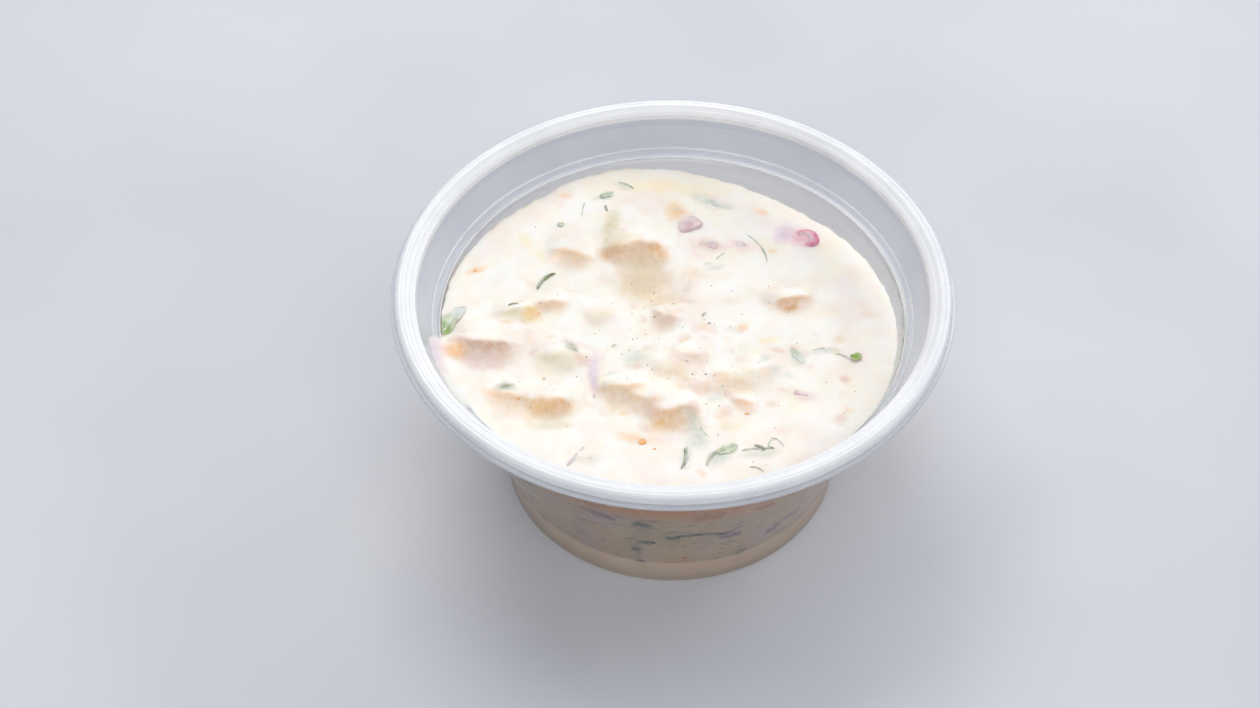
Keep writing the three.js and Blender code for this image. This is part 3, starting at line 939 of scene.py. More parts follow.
@dataclass
class Sauce:
    """The body of sauce, from the cup's floor to its uneven top. Lengths are in millimetres."""

    cup: Cup
    bite: float = 0.15
    middle_drop: float = 6.3
    curl: float = 0.06
    calm: float = 0.9
    spill: float = 3.5
    spill_bearings: tuple[float, float, float, float] = (184, 192, 196, 232)
    spill_reach: float = 2.2
    edge_reach: float = 0.5
    side_fade: tuple[float, float] = (0.4, 2.0)
    ripples: Layers = ((0.2, 5.0, 3.1), (0.24, 1.3, 7.7))
    swell: Layers = ((0.12, 4.4, 1.3), (0.05, 1.7, 5.2))
    bend_x: Layers = ((0.7, 3.8, 21.3), (0.22, 1.3, 22.9))
    bend_y: Layers = ((0.7, 3.8, 31.3), (0.22, 1.3, 32.9))
    wobble: Layers = ((1, 1.7, 12.4), (0.5, 0.7, 4.4))
    cells: int = 280
    seed: int = 47
    flecks: int = 110
    lumps: list[Lump] = field(default_factory=lambda: LUMPS)
    stains: list[Stain] = field(default_factory=lambda: STAINS)
    covers: list[tuple[float, float, float, float]] = field(default_factory=list)
    behind: list[tuple["WallBit", Colour]] = field(default_factory=list)

    def __post_init__(self) -> None:
        """Smooths the measured levels of the edge into a ring that closes on itself."""
        self.ring = np.arange(0, 361.0)
        turned, drops = zip(*EDGE_DROPS)
        rough = np.interp(self.ring[:-1], turned, drops)
        reach, width = 12, 4.0
        near = np.exp(-0.5 * (np.arange(-reach, reach + 1) / width) ** 2)
        wrapped = np.concatenate([rough[-reach:], rough, rough[:reach]])
        smooth = np.convolve(wrapped, near / near.sum(), "valid")
        self.levels = self.cup.lip - np.append(smooth, smooth[0])

    @property
    def top_points(self) -> int:
        """How many of the piece's points lie on its top. They come first."""
        return (self.cells + 1) ** 2

    def level(self, bearing: np.ndarray) -> np.ndarray:
        """Height at which the sauce meets the wall, without its small waves."""
        return np.interp(np.degrees(bearing) % 360, self.ring, self.levels)

    def waves(self, bearing: np.ndarray) -> np.ndarray:
        """The small waves of the sauce's edge, ragged where it has spilled."""
        u, v = np.cos(bearing) * 28, np.sin(bearing) * 28
        ragged = 0.4 * self.spill * self.spilled(bearing) * mottle(u, v, 1.1, 9.9)
        return ruffle(0, u, v, self.ripples) + ragged

    def spilled(self, bearing: np.ndarray) -> np.ndarray:
        """How much of the sauce's spill over the ledge, at the left, each bearing has."""
        turned = np.degrees(bearing) % 360
        return soft_step(turned, *self.spill_bearings[:2]) * (1 - soft_step(turned, *self.spill_bearings[2:]))

    def edge(self, bearing: np.ndarray) -> np.ndarray:
        """Height at which the sauce ends on the wall, with its spill and waves."""
        return self.level(bearing) + self.spill * self.spilled(bearing) + self.waves(bearing)

    def warp(self, x: np.ndarray, y: np.ndarray) -> tuple[np.ndarray, np.ndarray]:
        """Bends places sideways a little, so that nothing in the sauce is regular."""
        return ruffle(x, x, y, self.bend_x), ruffle(y, x, y, self.bend_y)

    def height(self, x: np.ndarray, y: np.ndarray) -> np.ndarray:
        """Height of the sauce's top.

        Args:
            x, y: places in millimetres.

        Returns:
            The height at each place, in millimetres.
        """
        x, y = np.asarray(x, float), np.asarray(y, float)
        bearing = np.arctan2(y, x)
        level = self.level(bearing)
        side = self.cup.inner_radius(self.edge(bearing)) + self.bite
        radius = np.minimum(np.hypot(x, y), side)
        out = radius / side
        u, v = self.warp(x, y)
        relief = sum(lump.height(u, v) for lump in self.lumps)
        for cover_x, cover_y, reach, rise in self.covers:
            share = np.hypot(u - cover_x, v - cover_y) / reach
            relief = relief + rise * (1 - soft_step(share, 0.5, 1.25))
        relief = ruffle(relief, x, y, self.swell)
        middle = self.cup.lip - self.middle_drop
        base = middle + (level - self.curl - middle) * out * out
        spilled = self.spilled(bearing)
        near = np.exp((radius - side) / self.edge_reach)
        even = self.cup.inner_radius(level + self.spill * spilled) + self.bite
        depth = np.maximum(even - radius + (side - even) * near, 0)
        reach = self.edge_reach + self.spill_reach * spilled
        climb = (self.curl + self.spill * spilled) * np.exp(-depth / reach) + self.waves(bearing) * near
        return base + relief * (1 - soft_step(out, self.calm, 1)) + climb

    def draft(self) -> bmesh.types.BMesh:
        """Shapes the top from a grid, and draws its border down the wall to a closed bottom."""
        draft = bmesh.new()
        bmesh.ops.create_grid(draft, x_segments=self.cells, y_segments=self.cells, size=1)
        flat = np.array([vert.co for vert in draft.verts])
        u = flat[:, 0] * np.sqrt(1 - flat[:, 1] ** 2 / 2)
        v = flat[:, 1] * np.sqrt(1 - flat[:, 0] ** 2 / 2)
        bearing = np.arctan2(v, u)
        side = self.cup.inner_radius(self.edge(bearing)) + self.bite
        x, y = u * side, v * side
        self.top = np.array([x, y, self.height(x, y)]).reshape(3, self.cells + 1, self.cells + 1)
        for vert, place in zip(draft.verts, self.top.reshape(3, -1).T):
            vert.co = place
        border = [edge for edge in draft.edges if edge.is_boundary]
        foot, floor = self.cup.foot_height, self.cup.floor_height - self.bite
        for step in (0.03, 0.06, 0.09, 0.12, 0.2, 0.3, 0.4, 0.6, 0.8, 0.985):
            border = self.lower(draft, border, lambda z: z + (foot - z) * step, 0)
        for z, inset in ((foot - 0.1, 0), (floor + 0.15, 0), (floor, 0.25)):
            border = self.lower(draft, border, lambda _: z, inset)
        made = bmesh.ops.extrude_edge_only(draft, edges=border)["geom"]
        last = [part for part in made if isinstance(part, bmesh.types.BMVert)]
        bmesh.ops.pointmerge(draft, verts=last, merge_co=(0, 0, floor))
        bmesh.ops.recalc_face_normals(draft, faces=draft.faces)
        return draft

    def lower(
        self,
        draft: bmesh.types.BMesh,
        border: list[bmesh.types.BMEdge],
        drop: Callable[[float], float],
        inset: float,
    ) -> list[bmesh.types.BMEdge]:
        """Draws the border one step down the wall.

        Args:
            draft: the sauce so far.
            border: its open border.
            drop: turns the height of the sauce's edge into the new one.
            inset: how far inside the wall's face the new border lies.

        Returns:
            The new border.
        """
        made = bmesh.ops.extrude_edge_only(draft, edges=border)["geom"]
        verts = [part for part in made if isinstance(part, bmesh.types.BMVert)]
        bearing = np.array([math.atan2(vert.co.y, vert.co.x) for vert in verts])
        height = drop(self.edge(bearing)) + 0 * bearing
        radius = self.cup.inner_radius(height) + self.bite - inset
        for vert, place in zip(verts, zip(radius * np.cos(bearing), radius * np.sin(bearing), height)):
            vert.co = place
        return [part for part in made if isinstance(part, bmesh.types.BMEdge)]

    def slopes(self) -> tuple[np.ndarray, np.ndarray]:
        """Measures how the top leans and cups.

        Returns:
            The rise towards the back, and how far each place lies below its surroundings.
        """
        x, y, z = self.top
        rows, columns = zip(*(np.gradient(values) for values in (x, y, z)))
        spread = rows[1] * columns[0] - columns[1] * rows[0]
        lean = (rows[2] * columns[0] - columns[2] * rows[0]) / np.where(spread == 0, 1, spread)
        reach = 6
        wide = np.pad(z, reach, "edge")
        level = sum(
            wide[reach + row:reach + row + len(z), reach + column:reach + column + len(z)]
            for row, column in ((reach, 0), (-reach, 0), (0, reach), (0, -reach))
        ) / 4
        return lean.ravel(), (level - z).ravel()

    def paint(self, piece: bpy.types.Object) -> None:
        """Writes on the piece's points the stains of what lies under the surface, painted shade in hollows,
        on slopes that face the front and under crests, and the side's painted shade and glow.

        Args:
            piece: the sauce's finished piece, in metres.
        """
        mesh = piece.data
        co = np.empty(len(mesh.vertices) * 3, np.float32)
        mesh.vertices.foreach_get("co", co)
        x, y, z = (co.reshape(-1, 3).T / MM).astype(float)
        colour = np.tile(np.array(CREAM), (len(x), 1))
        colour[:, 3] = 0

        def layer_on(weight: np.ndarray, tint: Colour) -> None:
            """Lays one tint over the ones before it."""
            total = colour[:, 3] + weight * (1 - colour[:, 3])
            share = np.divide(weight, total, out=np.zeros_like(weight), where=total > 0)
            colour[:, :3] += (np.array(tint[:3]) - colour[:, :3]) * share[:, None]
            colour[:, 3] = total

        lean, cup = (np.append(part, np.zeros(len(x) - part.size)) for part in self.slopes())
        on_top = (np.arange(len(x)) < self.top_points).astype(float)
        inside = on_top * (1 - soft_step(np.hypot(x, y), 25.5, 27.5))
        layer_on(0.22 * patches(x, y, 6.0, 41.2, 0.05, 0.5) * on_top, BUTTER)
        layer_on(0.28 * patches(x, y, 5.0, 43.9, 0.0, 0.45) * on_top, PINK)
        # Painted shade: beige in hollows, stronger the deeper they lie below their surroundings.
        layer_on(0.4 * soft_step(cup, 0.02, 0.35) * inside, BEIGE)
        # Painted shade: tan on slopes that face the front, away from the lamp behind.
        layer_on(0.4 * soft_step(lean, 0.25, 1.2) * inside, TAN)
        u, v = self.warp(x, y)
        # Painted shade under each lump's crest, partly the chunk's own colour.
        for lump in self.lumps:
            layer_on(lump.face(u, v) * on_top, lump.tint)
        wobble = ruffle(0, x, y, self.wobble)
        # These patches hold painted shade as well as stains of bits; the faint ones are stains of chopped
        # bits.
        for stain in [*self.stains, *self.faint_stains()]:
            layer_on(stain.weight(u, v, wobble) * on_top, stain.colour)
        self.paint_side(x, y, z, layer_on)
        layer = mesh.color_attributes.new("stain", "FLOAT_COLOR", "POINT")
        layer.data.foreach_set("color", colour.astype(np.float32).ravel())
        side = mesh.attributes.new("beside", "FLOAT", "POINT")
        side.data.foreach_set("value", self.beside(x, y, z).astype(np.float32))

    def beside(self, x: np.ndarray, y: np.ndarray, z: np.ndarray) -> np.ndarray:
        """How much each point belongs to the side: none on the top, all from 2 mm below the edge."""
        on_side = np.arange(len(x)) >= self.top_points
        return on_side * soft_step(self.edge(np.arctan2(y, x)) - z, *self.side_fade)

    def faint_stains(self) -> list[Stain]:
        """Spreads the small faint stains of finely chopped bits, thickest towards the middle."""
        chance = random.Random(self.seed)
        tints = (TAN, ROSE_TAN, PINK, BEIGE, OCHRE, GREY_GREEN, SAND)
        stains = []
        while len(stains) < self.flecks:
            x, y = chance.gauss(2, 10.5), chance.gauss(-4, 9)
            size, turn = chance.uniform(0.5, 1.6), chance.uniform(-60, 60)
            tint, strength = chance.choice(tints), chance.uniform(0.2, 0.6)
            if math.hypot(x, y) < 26:
                stains.append(Stain(x, y, size * chance.uniform(1, 2), size, turn, tint, strength))
        return stains

    def paint_side(
        self, x: np.ndarray, y: np.ndarray, z: np.ndarray, layer_on: Callable[[np.ndarray, Colour], None]
    ) -> None:
        """Paints the sauce that shows through the wall: deeper, cloudy, with painted shade above the foot
        band and a painted orange glow under the rim, strongest at the front.

        Args:
            x, y, z: the sauce's points, in millimetres.
            layer_on: lays a tint over the ones before it.
        """
        beside = self.beside(x, y, z)
        around = np.arctan2(y, x) * 24
        # Painted shade: above the foot band the side is darker, in beige, olive patches and tan, than the
        # band below.
        above = soft_step(z, self.cup.foot_height - 0.1, self.cup.foot_height + 0.15)
        layer_on((0.3 + 0.65 * above) * beside, BEIGE)
        layer_on(0.75 * above * patches(around, 2 * z, 7.0, 51.0, -0.3, 0.3) * beside, OLIVE)
        layer_on(0.28 * above * beside, TAN)
        layer_on(0.5 * patches(around, 2 * z, 5.0, 53.0, 0, 0.5) * beside, ROSE_TAN)
        layer_on(0.45 * patches(around, 2 * z, 4.0, 57.0, 0.1, 0.5) * beside, LILAC)
        # Painted glow: orange light under the rim, strongest at the front and broken into patches.
        front = 0.25 + 0.75 * soft_step(-y, 10, 24)
        uneven = 0.55 + 0.45 * patches(around, z, 6.0, 59.0, -0.3, 0.2)
        layer_on(front * uneven * soft_step(z, 17.5, 21) * (1 - soft_step(z, 23.6, 24.4)) * beside, GLOW)
        for bit, tint in self.behind:
            across = (z - bit.z) / max(bit.width, 0.9)
            turned = np.degrees(np.arctan2(y, x)) - bit.bearing
            along = ((turned + 180) % 360 - 180) * 0.4 / max(bit.length * 0.7, 0.9)
            layer_on(0.6 * np.exp(-(along**2 + across**2) * 1.2) * beside, tint)

    def build(self) -> bpy.types.Object:
        """Makes and paints the sauce."""
        mesh = new_mesh("sauce_body", self.draft(), [SauceFinish().material()])
        piece = new_piece("sauce_body", mesh, 80)
        self.paint(piece)
        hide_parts("sauce")
        return piece


# ---- Bits ----


@dataclass(frozen=True)
class Strand:
    """A shred of herb: where its middle is, its length, direction, bend and width."""

    x: float
    y: float
    length: float
    turn: float
    bend: float
    width: float = 0.45
    lift: float = 0.04
    pale: float = 0.2

    def shape(self) -> bmesh.types.BMesh:
        """A bent strand along X with tapered ends, about the origin."""
        shape = new_shape()
        bmesh.ops.create_cone(
            shape, cap_ends=True, cap_tris=False, segments=8, radius1=self.width / 2,
            radius2=self.width / 2, depth=self.length, matrix=Matrix.Rotation(math.pi / 2, 4, "Y"),
        )
        long_edges = [edge for edge in shape.edges if edge.calc_length() > self.length * 0.9]
        bmesh.ops.subdivide_edges(shape, edges=long_edges, cuts=15, use_grid_fill=True)
        skin = shape.verts.layers.float["skin"]
        for vert in shape.verts:
            along = 2 * vert.co.x / self.length
            taper = math.sqrt(max(0.06, 1 - along**4))
            rough = 1 + 0.3 * hump(3 * along, self.x, self.y)
            vert[skin] = min(1.0, self.pale * (1 + 0.8 * hump(2 * along, self.y, 5)))
            vert.co.y *= taper * rough
            vert.co.z *= taper * 0.7
            vert.co.y += self.bend * (1 - along * along) - self.bend / 2
            vert.co.z += 0.1 * hump(2.2 * along, self.x, 9)
        return shape


@dataclass(frozen=True)
class Leaf:
    """A flake of leaf: where its middle is, its size and direction."""

    x: float
    y: float
    length: float
    width: float
    turn: float
    lobes: int = 3
    lift: float = 0.08
    fold: float = 0.2
    pale: tuple[float, float] = (0.3, 0.3)

    def shape(self) -> bmesh.types.BMesh:
        """A thin wavy flake along X with a lobed outline, about the origin."""
        shape = new_shape()
        bmesh.ops.create_grid(shape, x_segments=26, y_segments=10, size=1)
        skin = shape.verts.layers.float["skin"]
        for vert in shape.verts:
            along, across = vert.co.x, vert.co.y
            swell = max(0.0, 1 - abs(along) ** 2.4) ** 0.55
            lobe = 1 + 0.14 * math.cos(self.lobes * math.pi * (along + 0.15 * self.x) + across)
            rough = 1 + 0.25 * hump(2.5 * along, across, self.x)
            share = (along + 1) / 2
            vert[skin] = min(max(self.pale[0] + (self.pale[1] - self.pale[0]) * share, 0.0), 1.0)
            vert.co.x = along * self.length / 2
            vert.co.y = across * max(swell * lobe * rough, 0.04) * self.width / 2
            wave = 0.14 * hump(1.6 * along, across, self.y)
            vert.co.z = self.fold * abs(across) * self.width / 2 + wave
        bmesh.ops.solidify(shape, geom=shape.faces[:], thickness=0.07)
        return shape


@dataclass(frozen=True)
class Dice:
    """A chopped piece: where its middle is, its size, direction and how much skin it has."""

    x: float
    y: float
    length: float
    width: float
    turn: float
    skin: float = 0.4
    tilt: float = 12.0
    height: float = 1.3
    bare: float = 0.1
    rounding: float = 0.18

    def cover(self) -> tuple[float, float, float, float]:
        """Its middle, and how far and how high the sauce climbs over it."""
        return self.x, self.y, (self.length + self.width) / 3.4, 0.14

    def shape(self) -> bmesh.types.BMesh:
        """An uneven rounded block about the origin, with its skin on one long side."""
        shape = new_shape()
        bmesh.ops.create_cube(shape, size=1)
        bmesh.ops.bevel(
            shape, geom=shape.verts[:] + shape.edges[:], offset=self.rounding, offset_type="OFFSET",
            segments=3, profile=0.5, affect="EDGES", clamp_overlap=True, material=-1,
        )
        bmesh.ops.subdivide_edges(shape, edges=shape.edges[:], cuts=2, use_grid_fill=True)
        skin = shape.verts.layers.float["skin"]
        for vert in shape.verts:
            vert[skin] = self.skin * float(soft_step(vert.co.y, -0.1, 0.42))
            place = vert.co * 1.7 + Vector((self.x, self.y, 0))
            vert.co *= 1 + 0.24 * noise.noise(place * 0.7) + 0.08 * noise.noise(place * 2.4)
        bmesh.ops.scale(shape, vec=(self.length, self.width, self.height), verts=shape.verts)
        turn(shape, self.tilt, "X")
        return shape


@dataclass(frozen=True)
class Curl:
    """A sliver of onion ring that lies in a bow: its middle, bow, thickness and direction."""

    x: float
    y: float
    radius: float
    sweep: float
    turn: float
    thick: float
    bare: float

    def shape(self) -> bmesh.types.BMesh:
        """The bow about the origin, open towards -X, with skin on its outer side."""
        shape = new_shape()
        upright = Matrix.Translation((self.radius, 0, 0)) @ Matrix.Rotation(math.pi / 2, 4, "X")
        bmesh.ops.create_circle(shape, cap_ends=True, segments=14, radius=self.thick / 2, matrix=upright)
        turn(shape, -self.sweep / 2)
        bmesh.ops.spin(
            shape, geom=shape.verts[:] + shape.edges[:] + shape.faces[:], cent=(0, 0, 0), axis=(0, 0, 1),
            dvec=(0, 0, 0), angle=math.radians(self.sweep), steps=22, use_merge=False, use_duplicate=False,
        )
        bmesh.ops.remove_doubles(shape, verts=shape.verts, dist=1e-5)
        skin = shape.verts.layers.float["skin"]
        for vert in shape.verts:
            out = vert.co.xy.length - self.radius
            turned = math.atan2(vert.co.y, vert.co.x) / math.radians(self.sweep / 2)
            vert[skin] = float(soft_step(out / self.thick, -0.45, 0.15)) * (1 - 0.3 * turned * turned)
            squeeze = 1 - 0.45 * abs(turned) ** 3 + 0.25 * hump(turned * 1.7, self.x, 3)
            vert.co.xy = vert.co.xy.normalized() * (self.radius + out * squeeze)
            vert.co.z *= squeeze
        return shape


DILL = [
    Strand(-16.1, 7.6, 3.6, 50, 0.35, 0.5, 0.06, 0.1),
    Strand(11.3, 14.6, 6.8, -66, 0.9, 0.24, -0.03, 0.8),
    Strand(6.5, 13.0, 2.4, 46, 0.2, 0.22, -0.03, 0.8),
    Strand(1.2, -22.1, 3.4, 82, -0.35, 0.42, 0.02, 0.2),
    Strand(1.6, -21.2, 2.2, 96, 0.2, 0.3, -0.02, 0.6),
    Strand(4.4, -22.0, 2.6, 62, 0.25, 0.44, 0.02, 0.3),
    Strand(5.4, -20.9, 1.8, 20, 0.2, 0.34, 0.04, 0.5),
    Strand(9.2, -20.5, 2.2, 8, 0.2, 0.36, -0.04, 0.7),
    Strand(10.4, -20.1, 1.5, -26, 0.1, 0.44, 0.02, 0.2),
    Strand(11.3, -20.4, 1.8, 14, 0.25, 0.36, -0.02, 0.5),
    Strand(11.6, -19.5, 1.5, 66, 0.2, 0.2, -0.03, 0.9),
    Strand(12.6, -19.3, 2.2, -44, 0.35, 0.22, -0.02, 0.8),
    Strand(21.2, -4.8, 2.0, -30, 0.2, 0.3, -0.02, 0.7),
    Strand(18.8, -3.6, 2.8, 6, 0.3, 0.3, -0.06, 0.9),
    Strand(-11.4, 20.6, 3.4, 82, 0.2, 0.18, -0.03, 0.9),
    Strand(9.9, -23.6, 1.9, -24, 0.3, 0.28, 0.0, 0.6),
    Strand(-20.0, 2.7, 1.4, 12, 0.2, 0.36, 0.02, 0.3),
    Strand(-12.4, -4.0, 2.2, 118, 0.2, 0.42, -0.08, 0.6),
    Strand(-20.6, -11.5, 1.5, 25, 0.2, 0.5, -0.02, 0.25),
    Strand(-8.4, 21.0, 1.2, 100, 0.1, 0.36, 0.0, 0.3),
    Strand(-5.8, 25.2, 2.4, -28, 0.2, 0.3, 0.0, 0.7),
    Strand(4.0, 2.2, 0.9, 60, 0.1, 0.3, 0.0, 0.5),
    Strand(4.6, 0.6, 0.6, 20, 0.1, 0.24, 0.0, 0.5),
    Strand(-7.4, -3.3, 0.7, 40, 0.1, 0.26, 0.0, 0.7),
    Strand(3.6, -17.4, 2.6, 118, 0.3, 0.22, -0.05, 0.9),
]
PARSLEY = [
    Leaf(-27.8, -0.4, 6.6, 2.0, 60, 3, 0.05, 0.15, (-0.5, 1.4)),
    Leaf(15.5, -4.8, 3.0, 0.9, -62, 2, 0.0, 0.15, (0.1, 1.5)),
    Leaf(6.4, -20.5, 2.8, 1.2, 24, 2, 0.03, 0.3, (0.2, 0.6)),
    Leaf(-8.4, 23.4, 2.0, 0.9, 25, 2, 0.04, 0.2, (0.4, 0.9)),
    Leaf(22.8, -5.1, 1.5, 1.1, 20, 2, 0.1, 0.5, (0.0, 0.0)),
    Leaf(-14.3, 17.9, 1.0, 0.7, 15, 2, 0.04, 0.2, (0.2, 0.2)),
    Leaf(5.6, 22.8, 2.2, 0.8, -24, 2, 0.0, 0.1, (0.8, 0.95)),
]
RINGS = [
    Curl(17.4, 16.5, 1.15, 250, 16, 1.45, 0.3),
]
ONION = [
    Dice(2.2, 18.6, 3.4, 2.5, 208, 0.15, 6, 1.2, 0.26, 0.22),
    Dice(4.9, 15.1, 2.4, 1.6, 160, 0.15, 4, 1.0, 0.12, 0.26),
    Dice(8.6, 15.2, 2.4, 1.2, 5, 0.2, 4, 1.0, 0.05, 0.34),
    Dice(15.9, -11.2, 2.4, 1.2, 165, 0.3, 4, 1.0, 0.04, 0.34),
    Dice(-9.7, -11.9, 1.2, 0.6, 80, 0.5, 4, 0.8, 0.05, 0.3),
    Dice(-11.8, -22.0, 3.4, 0.34, 56, 0.2, 0, 0.4, 0.04, 0.3),
]
PICKLE = [
    Dice(0.6, 20.8, 1.8, 1.5, 20, 0.3, 8, 1.1, 0.05),
    Dice(21.0, -9.0, 0.9, 0.7, 0, 0.4, 8, 0.7, 0.03),
]
CARROT = [
    Dice(-3.9, -19.4, 1.4, 1.3, 30, 0.2, 6, 1.1, 0.12, 0.36),
    Dice(-2.3, -20.6, 0.6, 0.5, 30, 0.3, 10, 0.5, 0.05, 0.3),
    Dice(9.1, -14.7, 1.1, 0.9, 20, 0.1, 8, 0.9, 0.06, 0.34),
    Dice(-17.4, 1.5, 0.9, 1.7, -30, 0.0, 8, 0.9, 0.02),
    Dice(-25.0, 8.7, 0.6, 0.5, 10, 0.0, 6, 0.5, 0.04),
    Dice(-14.0, 23.2, 0.5, 0.4, 10, 0.0, 6, 0.5, 0.02),
    Dice(-19.0, -13.0, 0.5, 0.5, 50, 0.0, 6, 0.5, 0.03),
    Dice(5.2, -8.8, 0.5, 0.4, 0, 0.0, 6, 0.5, 0.02),
]
# Onion and pickle longer than this, in millimetres, have sauce that climbs over them.
COVERED_FROM = 1.5


@dataclass
class Bits:
    """The small pieces that lie in the top of the sauce, one mesh for each kind."""

    sauce: Sauce
    seed: int = 23
    specks: int = 120
    gap: float = 0.1

    def lay(self, shred: Strand | Leaf) -> bmesh.types.BMesh:
        """Turns a shred of herb to its direction and drapes it on the sauce.

        Args:
            shred: which shred, and where it lies.

        Returns:
            The shred, in place.
        """
        shape = shred.shape()
        turn(shape, shred.turn)
        bmesh.ops.translate(shape, verts=shape.verts, vec=(shred.x, shred.y, shred.lift))
        places = np.array([vert.co for vert in shape.verts])
        limit = self.sauce.cup.ledge_radius - self.gap
        reach = np.maximum(np.hypot(places[:, 0], places[:, 1]) / limit, 1)
        heights = self.sauce.height(places[:, 0] / reach, places[:, 1] / reach)
        for vert, height, over in zip(shape.verts, heights, reach):
            vert.co = (vert.co.x / over, vert.co.y / over, vert.co.z + height)
        return shape

    def set_in(self, block: Dice | Curl) -> bmesh.types.BMesh:
        """Turns a firm piece to its direction and sets its top just over the sauce.

        Args:
            block: which piece, and where it lies.

        Returns:
            The piece's shape, in place.
        """
        shape = block.shape()
        turn(shape, block.turn)
        height = float(self.sauce.height(np.array([block.x]), np.array([block.y]))[0])
        lift = height + block.bare - max(vert.co.z for vert in shape.verts)
        bmesh.ops.translate(shape, verts=shape.verts, vec=(block.x, block.y, lift))
        return shape

    def pepper(self) -> list[bmesh.types.BMesh]:
        """Shapes the pepper specks, thickest towards the middle."""
        chance = random.Random(self.seed)
        places = []
        while len(places) < self.specks:
            spread = 9.0 if chance.random() < 0.6 else 16.0
            x, y = chance.gauss(0, spread), chance.gauss(-3, spread)
            if math.hypot(x, y) < 26.5:
                places.append((x, y))
        heights = self.sauce.height(*np.array(places).T)
        shapes = []
        for (x, y), height in zip(places, heights):
            shape = new_shape()
            radius = chance.uniform(0.045, 0.09) * (1.6 if chance.random() < 0.12 else 1)
            bmesh.ops.create_icosphere(shape, subdivisions=1, radius=radius)
            for vert in shape.verts:
                vert.co *= chance.uniform(0.75, 1.2)
            bmesh.ops.translate(shape, verts=shape.verts, vec=(x, y, height + radius * 0.2))
            shapes.append(shape)
        return shapes

    def build(self) -> None:
        """Makes every kind of bit."""
        for kind, place, bits in (
            (Bit.DILL, self.lay, DILL),
            (Bit.PARSLEY, self.lay, PARSLEY),
            (Bit.ONION, self.set_in, [*ONION, *RINGS]),
            (Bit.PICKLE, self.set_in, PICKLE),
            (Bit.CARROT, self.set_in, CARROT),
        ):
            new_heap(kind, map(place, bits))
        new_heap(Bit.PEPPER, self.pepper())


# ---- Bits behind the wall ----


@dataclass(frozen=True)
class WallBit:
    """A bit pressed against the wall from inside: bearing, height, size and slope."""

    bearing: float
    z: float
    length: float
    width: float
    slope: float = 0.0
    wave: float = 0.25


WALL_GREENS = [
    WallBit(-81.5, 13.1, 7.6, 0.6, 2, 0.8),
    WallBit(-90.2, 12.8, 1.8, 1.0, 0),
    WallBit(-98.0, 10.8, 2.4, 1.2, 10),
    WallBit(-98.6, 16.8, 2.6, 1.0, 5),
    WallBit(-101.4, 8.0, 1.1, 1.3, 10),
    WallBit(-66.9, 3.4, 1.3, 0.9, 10),
    WallBit(-47.8, 2.8, 0.5, 0.5, 0),
    WallBit(-76.4, 2.5, 0.5, 0.3, 0),
]
WALL_ONIONS = [
    WallBit(-73.0, 11.6, 3.0, 1.3, -6),
    WallBit(-100.9, 3.0, 1.4, 2.4, 0),
    WallBit(-54.6, 9.4, 4.6, 0.9, 28),
    WallBit(-57.0, 7.8, 2.4, 0.6, 30),
    WallBit(-109.4, 17.6, 3.6, 1.4, -14),
]
WALL_ORANGES = [
    WallBit(-81.0, 19.4, 4.2, 1.6, 6),
    WallBit(-65.2, 18.4, 2.8, 1.2, -10),
    WallBit(-110.6, 20.6, 3.0, 1.0, 8),
    WallBit(-68.4, 2.1, 0.9, 0.5, 20),
    WallBit(-86.0, 5.6, 0.7, 0.5, 20),
]


@dataclass
class WallBits:
    """What shows through the cup's wall. The front is as seen, the rest is chance."""

    sauce: Sauce
    seed: int = 31
    depth: float = 0.2
    sunk: float = 0.12

    def press(self, bit: WallBit) -> bmesh.types.BMesh:
        """Bends a flat flake round the wall, just inside its inner face.

        Args:
            bit: which flake, and where.

        Returns:
            The flake, in place.
        """
        shape = new_shape()
        bmesh.ops.create_grid(shape, x_segments=18, y_segments=6, size=1)
        slope = math.radians(bit.slope)
        for vert in shape.verts:
            along, across = vert.co.x, vert.co.y
            swell = max(0.08, 1 - abs(along) ** 3) ** 0.5
            rough = 1 + 0.9 * hump(1.8 * along, bit.bearing, bit.z + 2 * across)
            wave = bit.wave * hump(1.3 * along, bit.z, bit.bearing)
            run = along * bit.length / 2
            rise = across * swell * rough * bit.width / 2 + wave
            z = bit.z + run * math.sin(slope) + rise * math.cos(slope)
            radius = float(self.sauce.cup.inner_radius(z))
            turned = math.radians(bit.bearing) + (run * math.cos(slope) - rise * math.sin(slope)) / radius
            out = radius + self.sauce.bite + self.sunk * (1 - 0.5 * across * across)
            vert.co = (out * math.cos(turned), out * math.sin(turned), z)
        bmesh.ops.solidify(shape, geom=shape.faces[:], thickness=self.depth)
        return shape

    def scatter(self, chance: random.Random, count: int, long: float, wide: float) -> list[WallBit]:
        """Spreads more bits round the sides and the back.

        Args:
            chance: the seeded source of chance.
            count: how many.
            long, wide: the largest length and width.

        Returns:
            The bits.
        """
        bits = []
        for _ in range(count):
            length, width = chance.uniform(0.3, 1) * long, chance.uniform(0.5, 1) * wide
            bearing, z = chance.uniform(-40, 225), chance.uniform(2.2, 21.0)
            bits.append(WallBit(bearing, z, length, min(width, length), chance.uniform(-50, 50), 0.5))
        return bits

    def build(self) -> None:
        """Makes the greens, the onion and the orange bits behind the wall."""
        chance = random.Random(self.seed)
        for kind, seen, count, long, wide in (
            (Bit.WALL_GREEN, WALL_GREENS, 16, 5.0, 1.0),
            (Bit.WALL_ONION, WALL_ONIONS, 9, 3.0, 1.6),
            (Bit.WALL_PICKLE, WALL_ORANGES, 9, 2.4, 1.4),
        ):
            new_heap(kind, map(self.press, seen + self.scatter(chance, count, long, wide)))


# ---- Studio ----


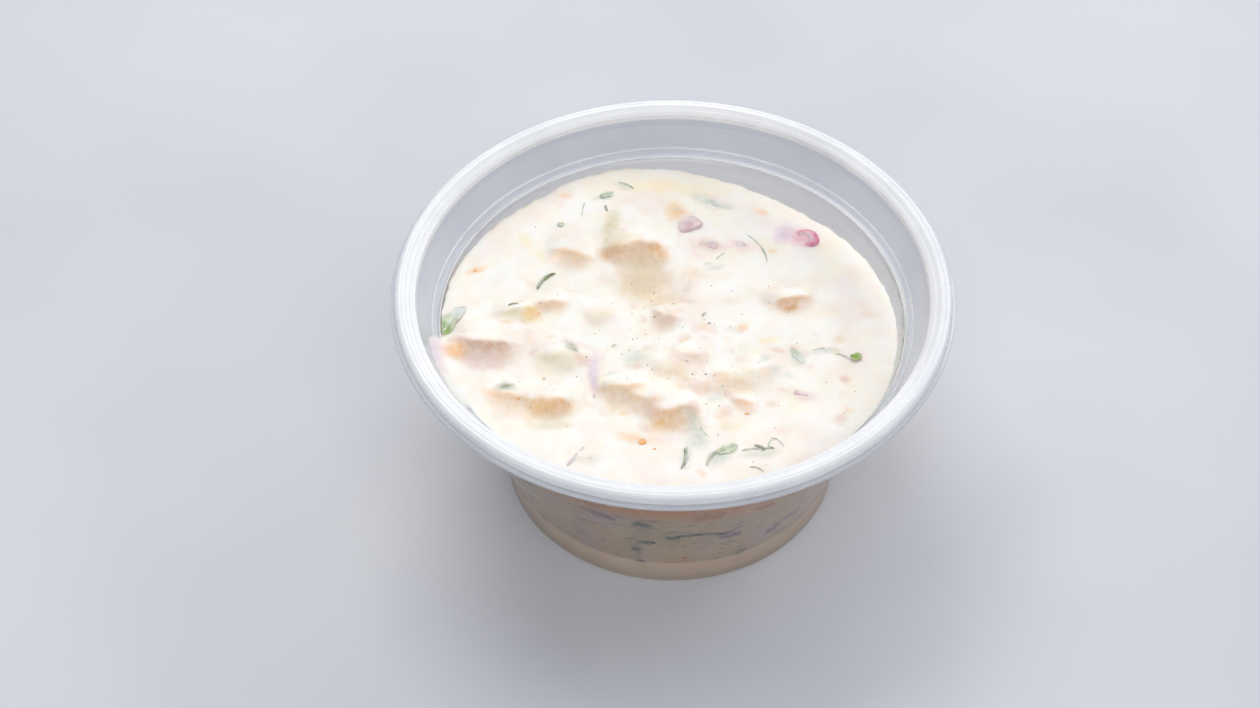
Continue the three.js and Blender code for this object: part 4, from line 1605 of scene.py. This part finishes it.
@dataclass
class Studio:
    """The floor, the lights and the camera."""

    lip: float
    elevation: float = 47.07
    distance: float = 350.0
    aside: tuple[float, float] = (5.3165, 7.6545)
    lens: float = 80.68
    sensor: float = 36.0
    half_floor: float = 1500.0

    def floor(self) -> None:
        """Lays the plain floor."""
        draft = bmesh.new()
        bmesh.ops.create_grid(draft, x_segments=4, y_segments=4, size=self.half_floor)
        floor = new_object("floor", new_mesh("floor", draft, [FloorFinish().material()]))

    def lamp(
        self,
        name: str,
        place: tuple[float, float, float],
        size: tuple[float, float],
        power: float,
        colour: Colour,
    ) -> None:
        """Hangs a soft rectangular lamp that faces the pot.

        Args:
            name: its name.
            place: where it hangs, in metres.
            size: its width and height, in metres.
            power: its power, in watts.
            colour: its light's colour.
        """
        light = bpy.data.lights.new(name, "AREA")
        light.shape = "RECTANGLE"
        light.size, light.size_y = size
        light.energy = power
        light.color = colour[:3]
        lamp = new_object(name, light)
        lamp.location = place
        aim = Vector((0, 0, self.lip * MM)) - Vector(place)
        lamp.rotation_euler = aim.to_track_quat("-Z", "Y").to_euler()

    def camera(self) -> None:
        """Sets the camera at the photograph's angle."""
        angle = math.radians(self.elevation)
        up = Vector((0, math.sin(angle), math.cos(angle)))
        back = Vector((0, -math.cos(angle), math.sin(angle)))
        target = Vector((0, 0, self.lip))
        place = target - Vector((self.aside[0], 0, 0)) - up * self.aside[1] + back * self.distance
        data = bpy.data.cameras.new("camera")
        data.lens = self.lens
        data.sensor_width = self.sensor
        data.clip_start = 0.01
        camera = new_object("camera", data)
        camera.location = place * MM
        camera.rotation_euler = (math.pi / 2 - angle, 0, 0)
        bpy.context.scene.camera = camera

    def build(self) -> None:
        """Lays the floor, hangs the lights and sets the camera."""
        self.floor()
        self.lamp("key", (-0.16, 0.42, 0.8), (0.55, 0.45), 3.4, srgb(254, 252, 250))
        self.lamp("back", (0.1, 0.95, 0.32), (0.9, 0.3), 2.0, srgb(250, 251, 255))
        self.lamp("left", (-0.66, 0.66, 0.34), (0.4, 0.3), 0.15, srgb(246, 249, 255))
        self.lamp("right", (0.68, 0.5, 0.5), (0.5, 0.4), 2.6, srgb(246, 249, 255))
        self.lamp("front", (0.05, -0.6, 0.8), (0.7, 0.4), 3.2, srgb(252, 250, 250))
        world = bpy.data.worlds.new("studio")
        world.use_nodes = True
        sky = world.node_tree.nodes["Background"]
        sky.inputs["Color"].default_value = srgb(232, 238, 250)
        sky.inputs["Strength"].default_value = 0.36
        scene = bpy.context.scene
        scene.world = world
        scene.view_settings.view_transform = "Standard"
        self.camera()


def main() -> None:
    """Builds the pot, its sauce and the studio, in order."""
    logging.basicConfig(level=logging.INFO, format="%(message)s")
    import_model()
    _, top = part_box("cup")
    cup = Cup(lip_radius=top.x / MM, height=top.z / MM)
    cup.build()
    sauce = Sauce(cup)
    sauce.covers = [dice.cover() for dice in ONION + PICKLE if dice.length > COVERED_FROM]
    sauce.behind = [
        (bit, tint)
        for bits, tint in ((WALL_GREENS, DARK_GREEN), (WALL_ONIONS, LILAC), (WALL_ORANGES, ORANGE))
        for bit in bits
    ]
    sauce.build()
    Bits(sauce).build()
    WallBits(sauce).build()
    Studio(cup.lip).build()


if __name__ == "__main__":
    main()
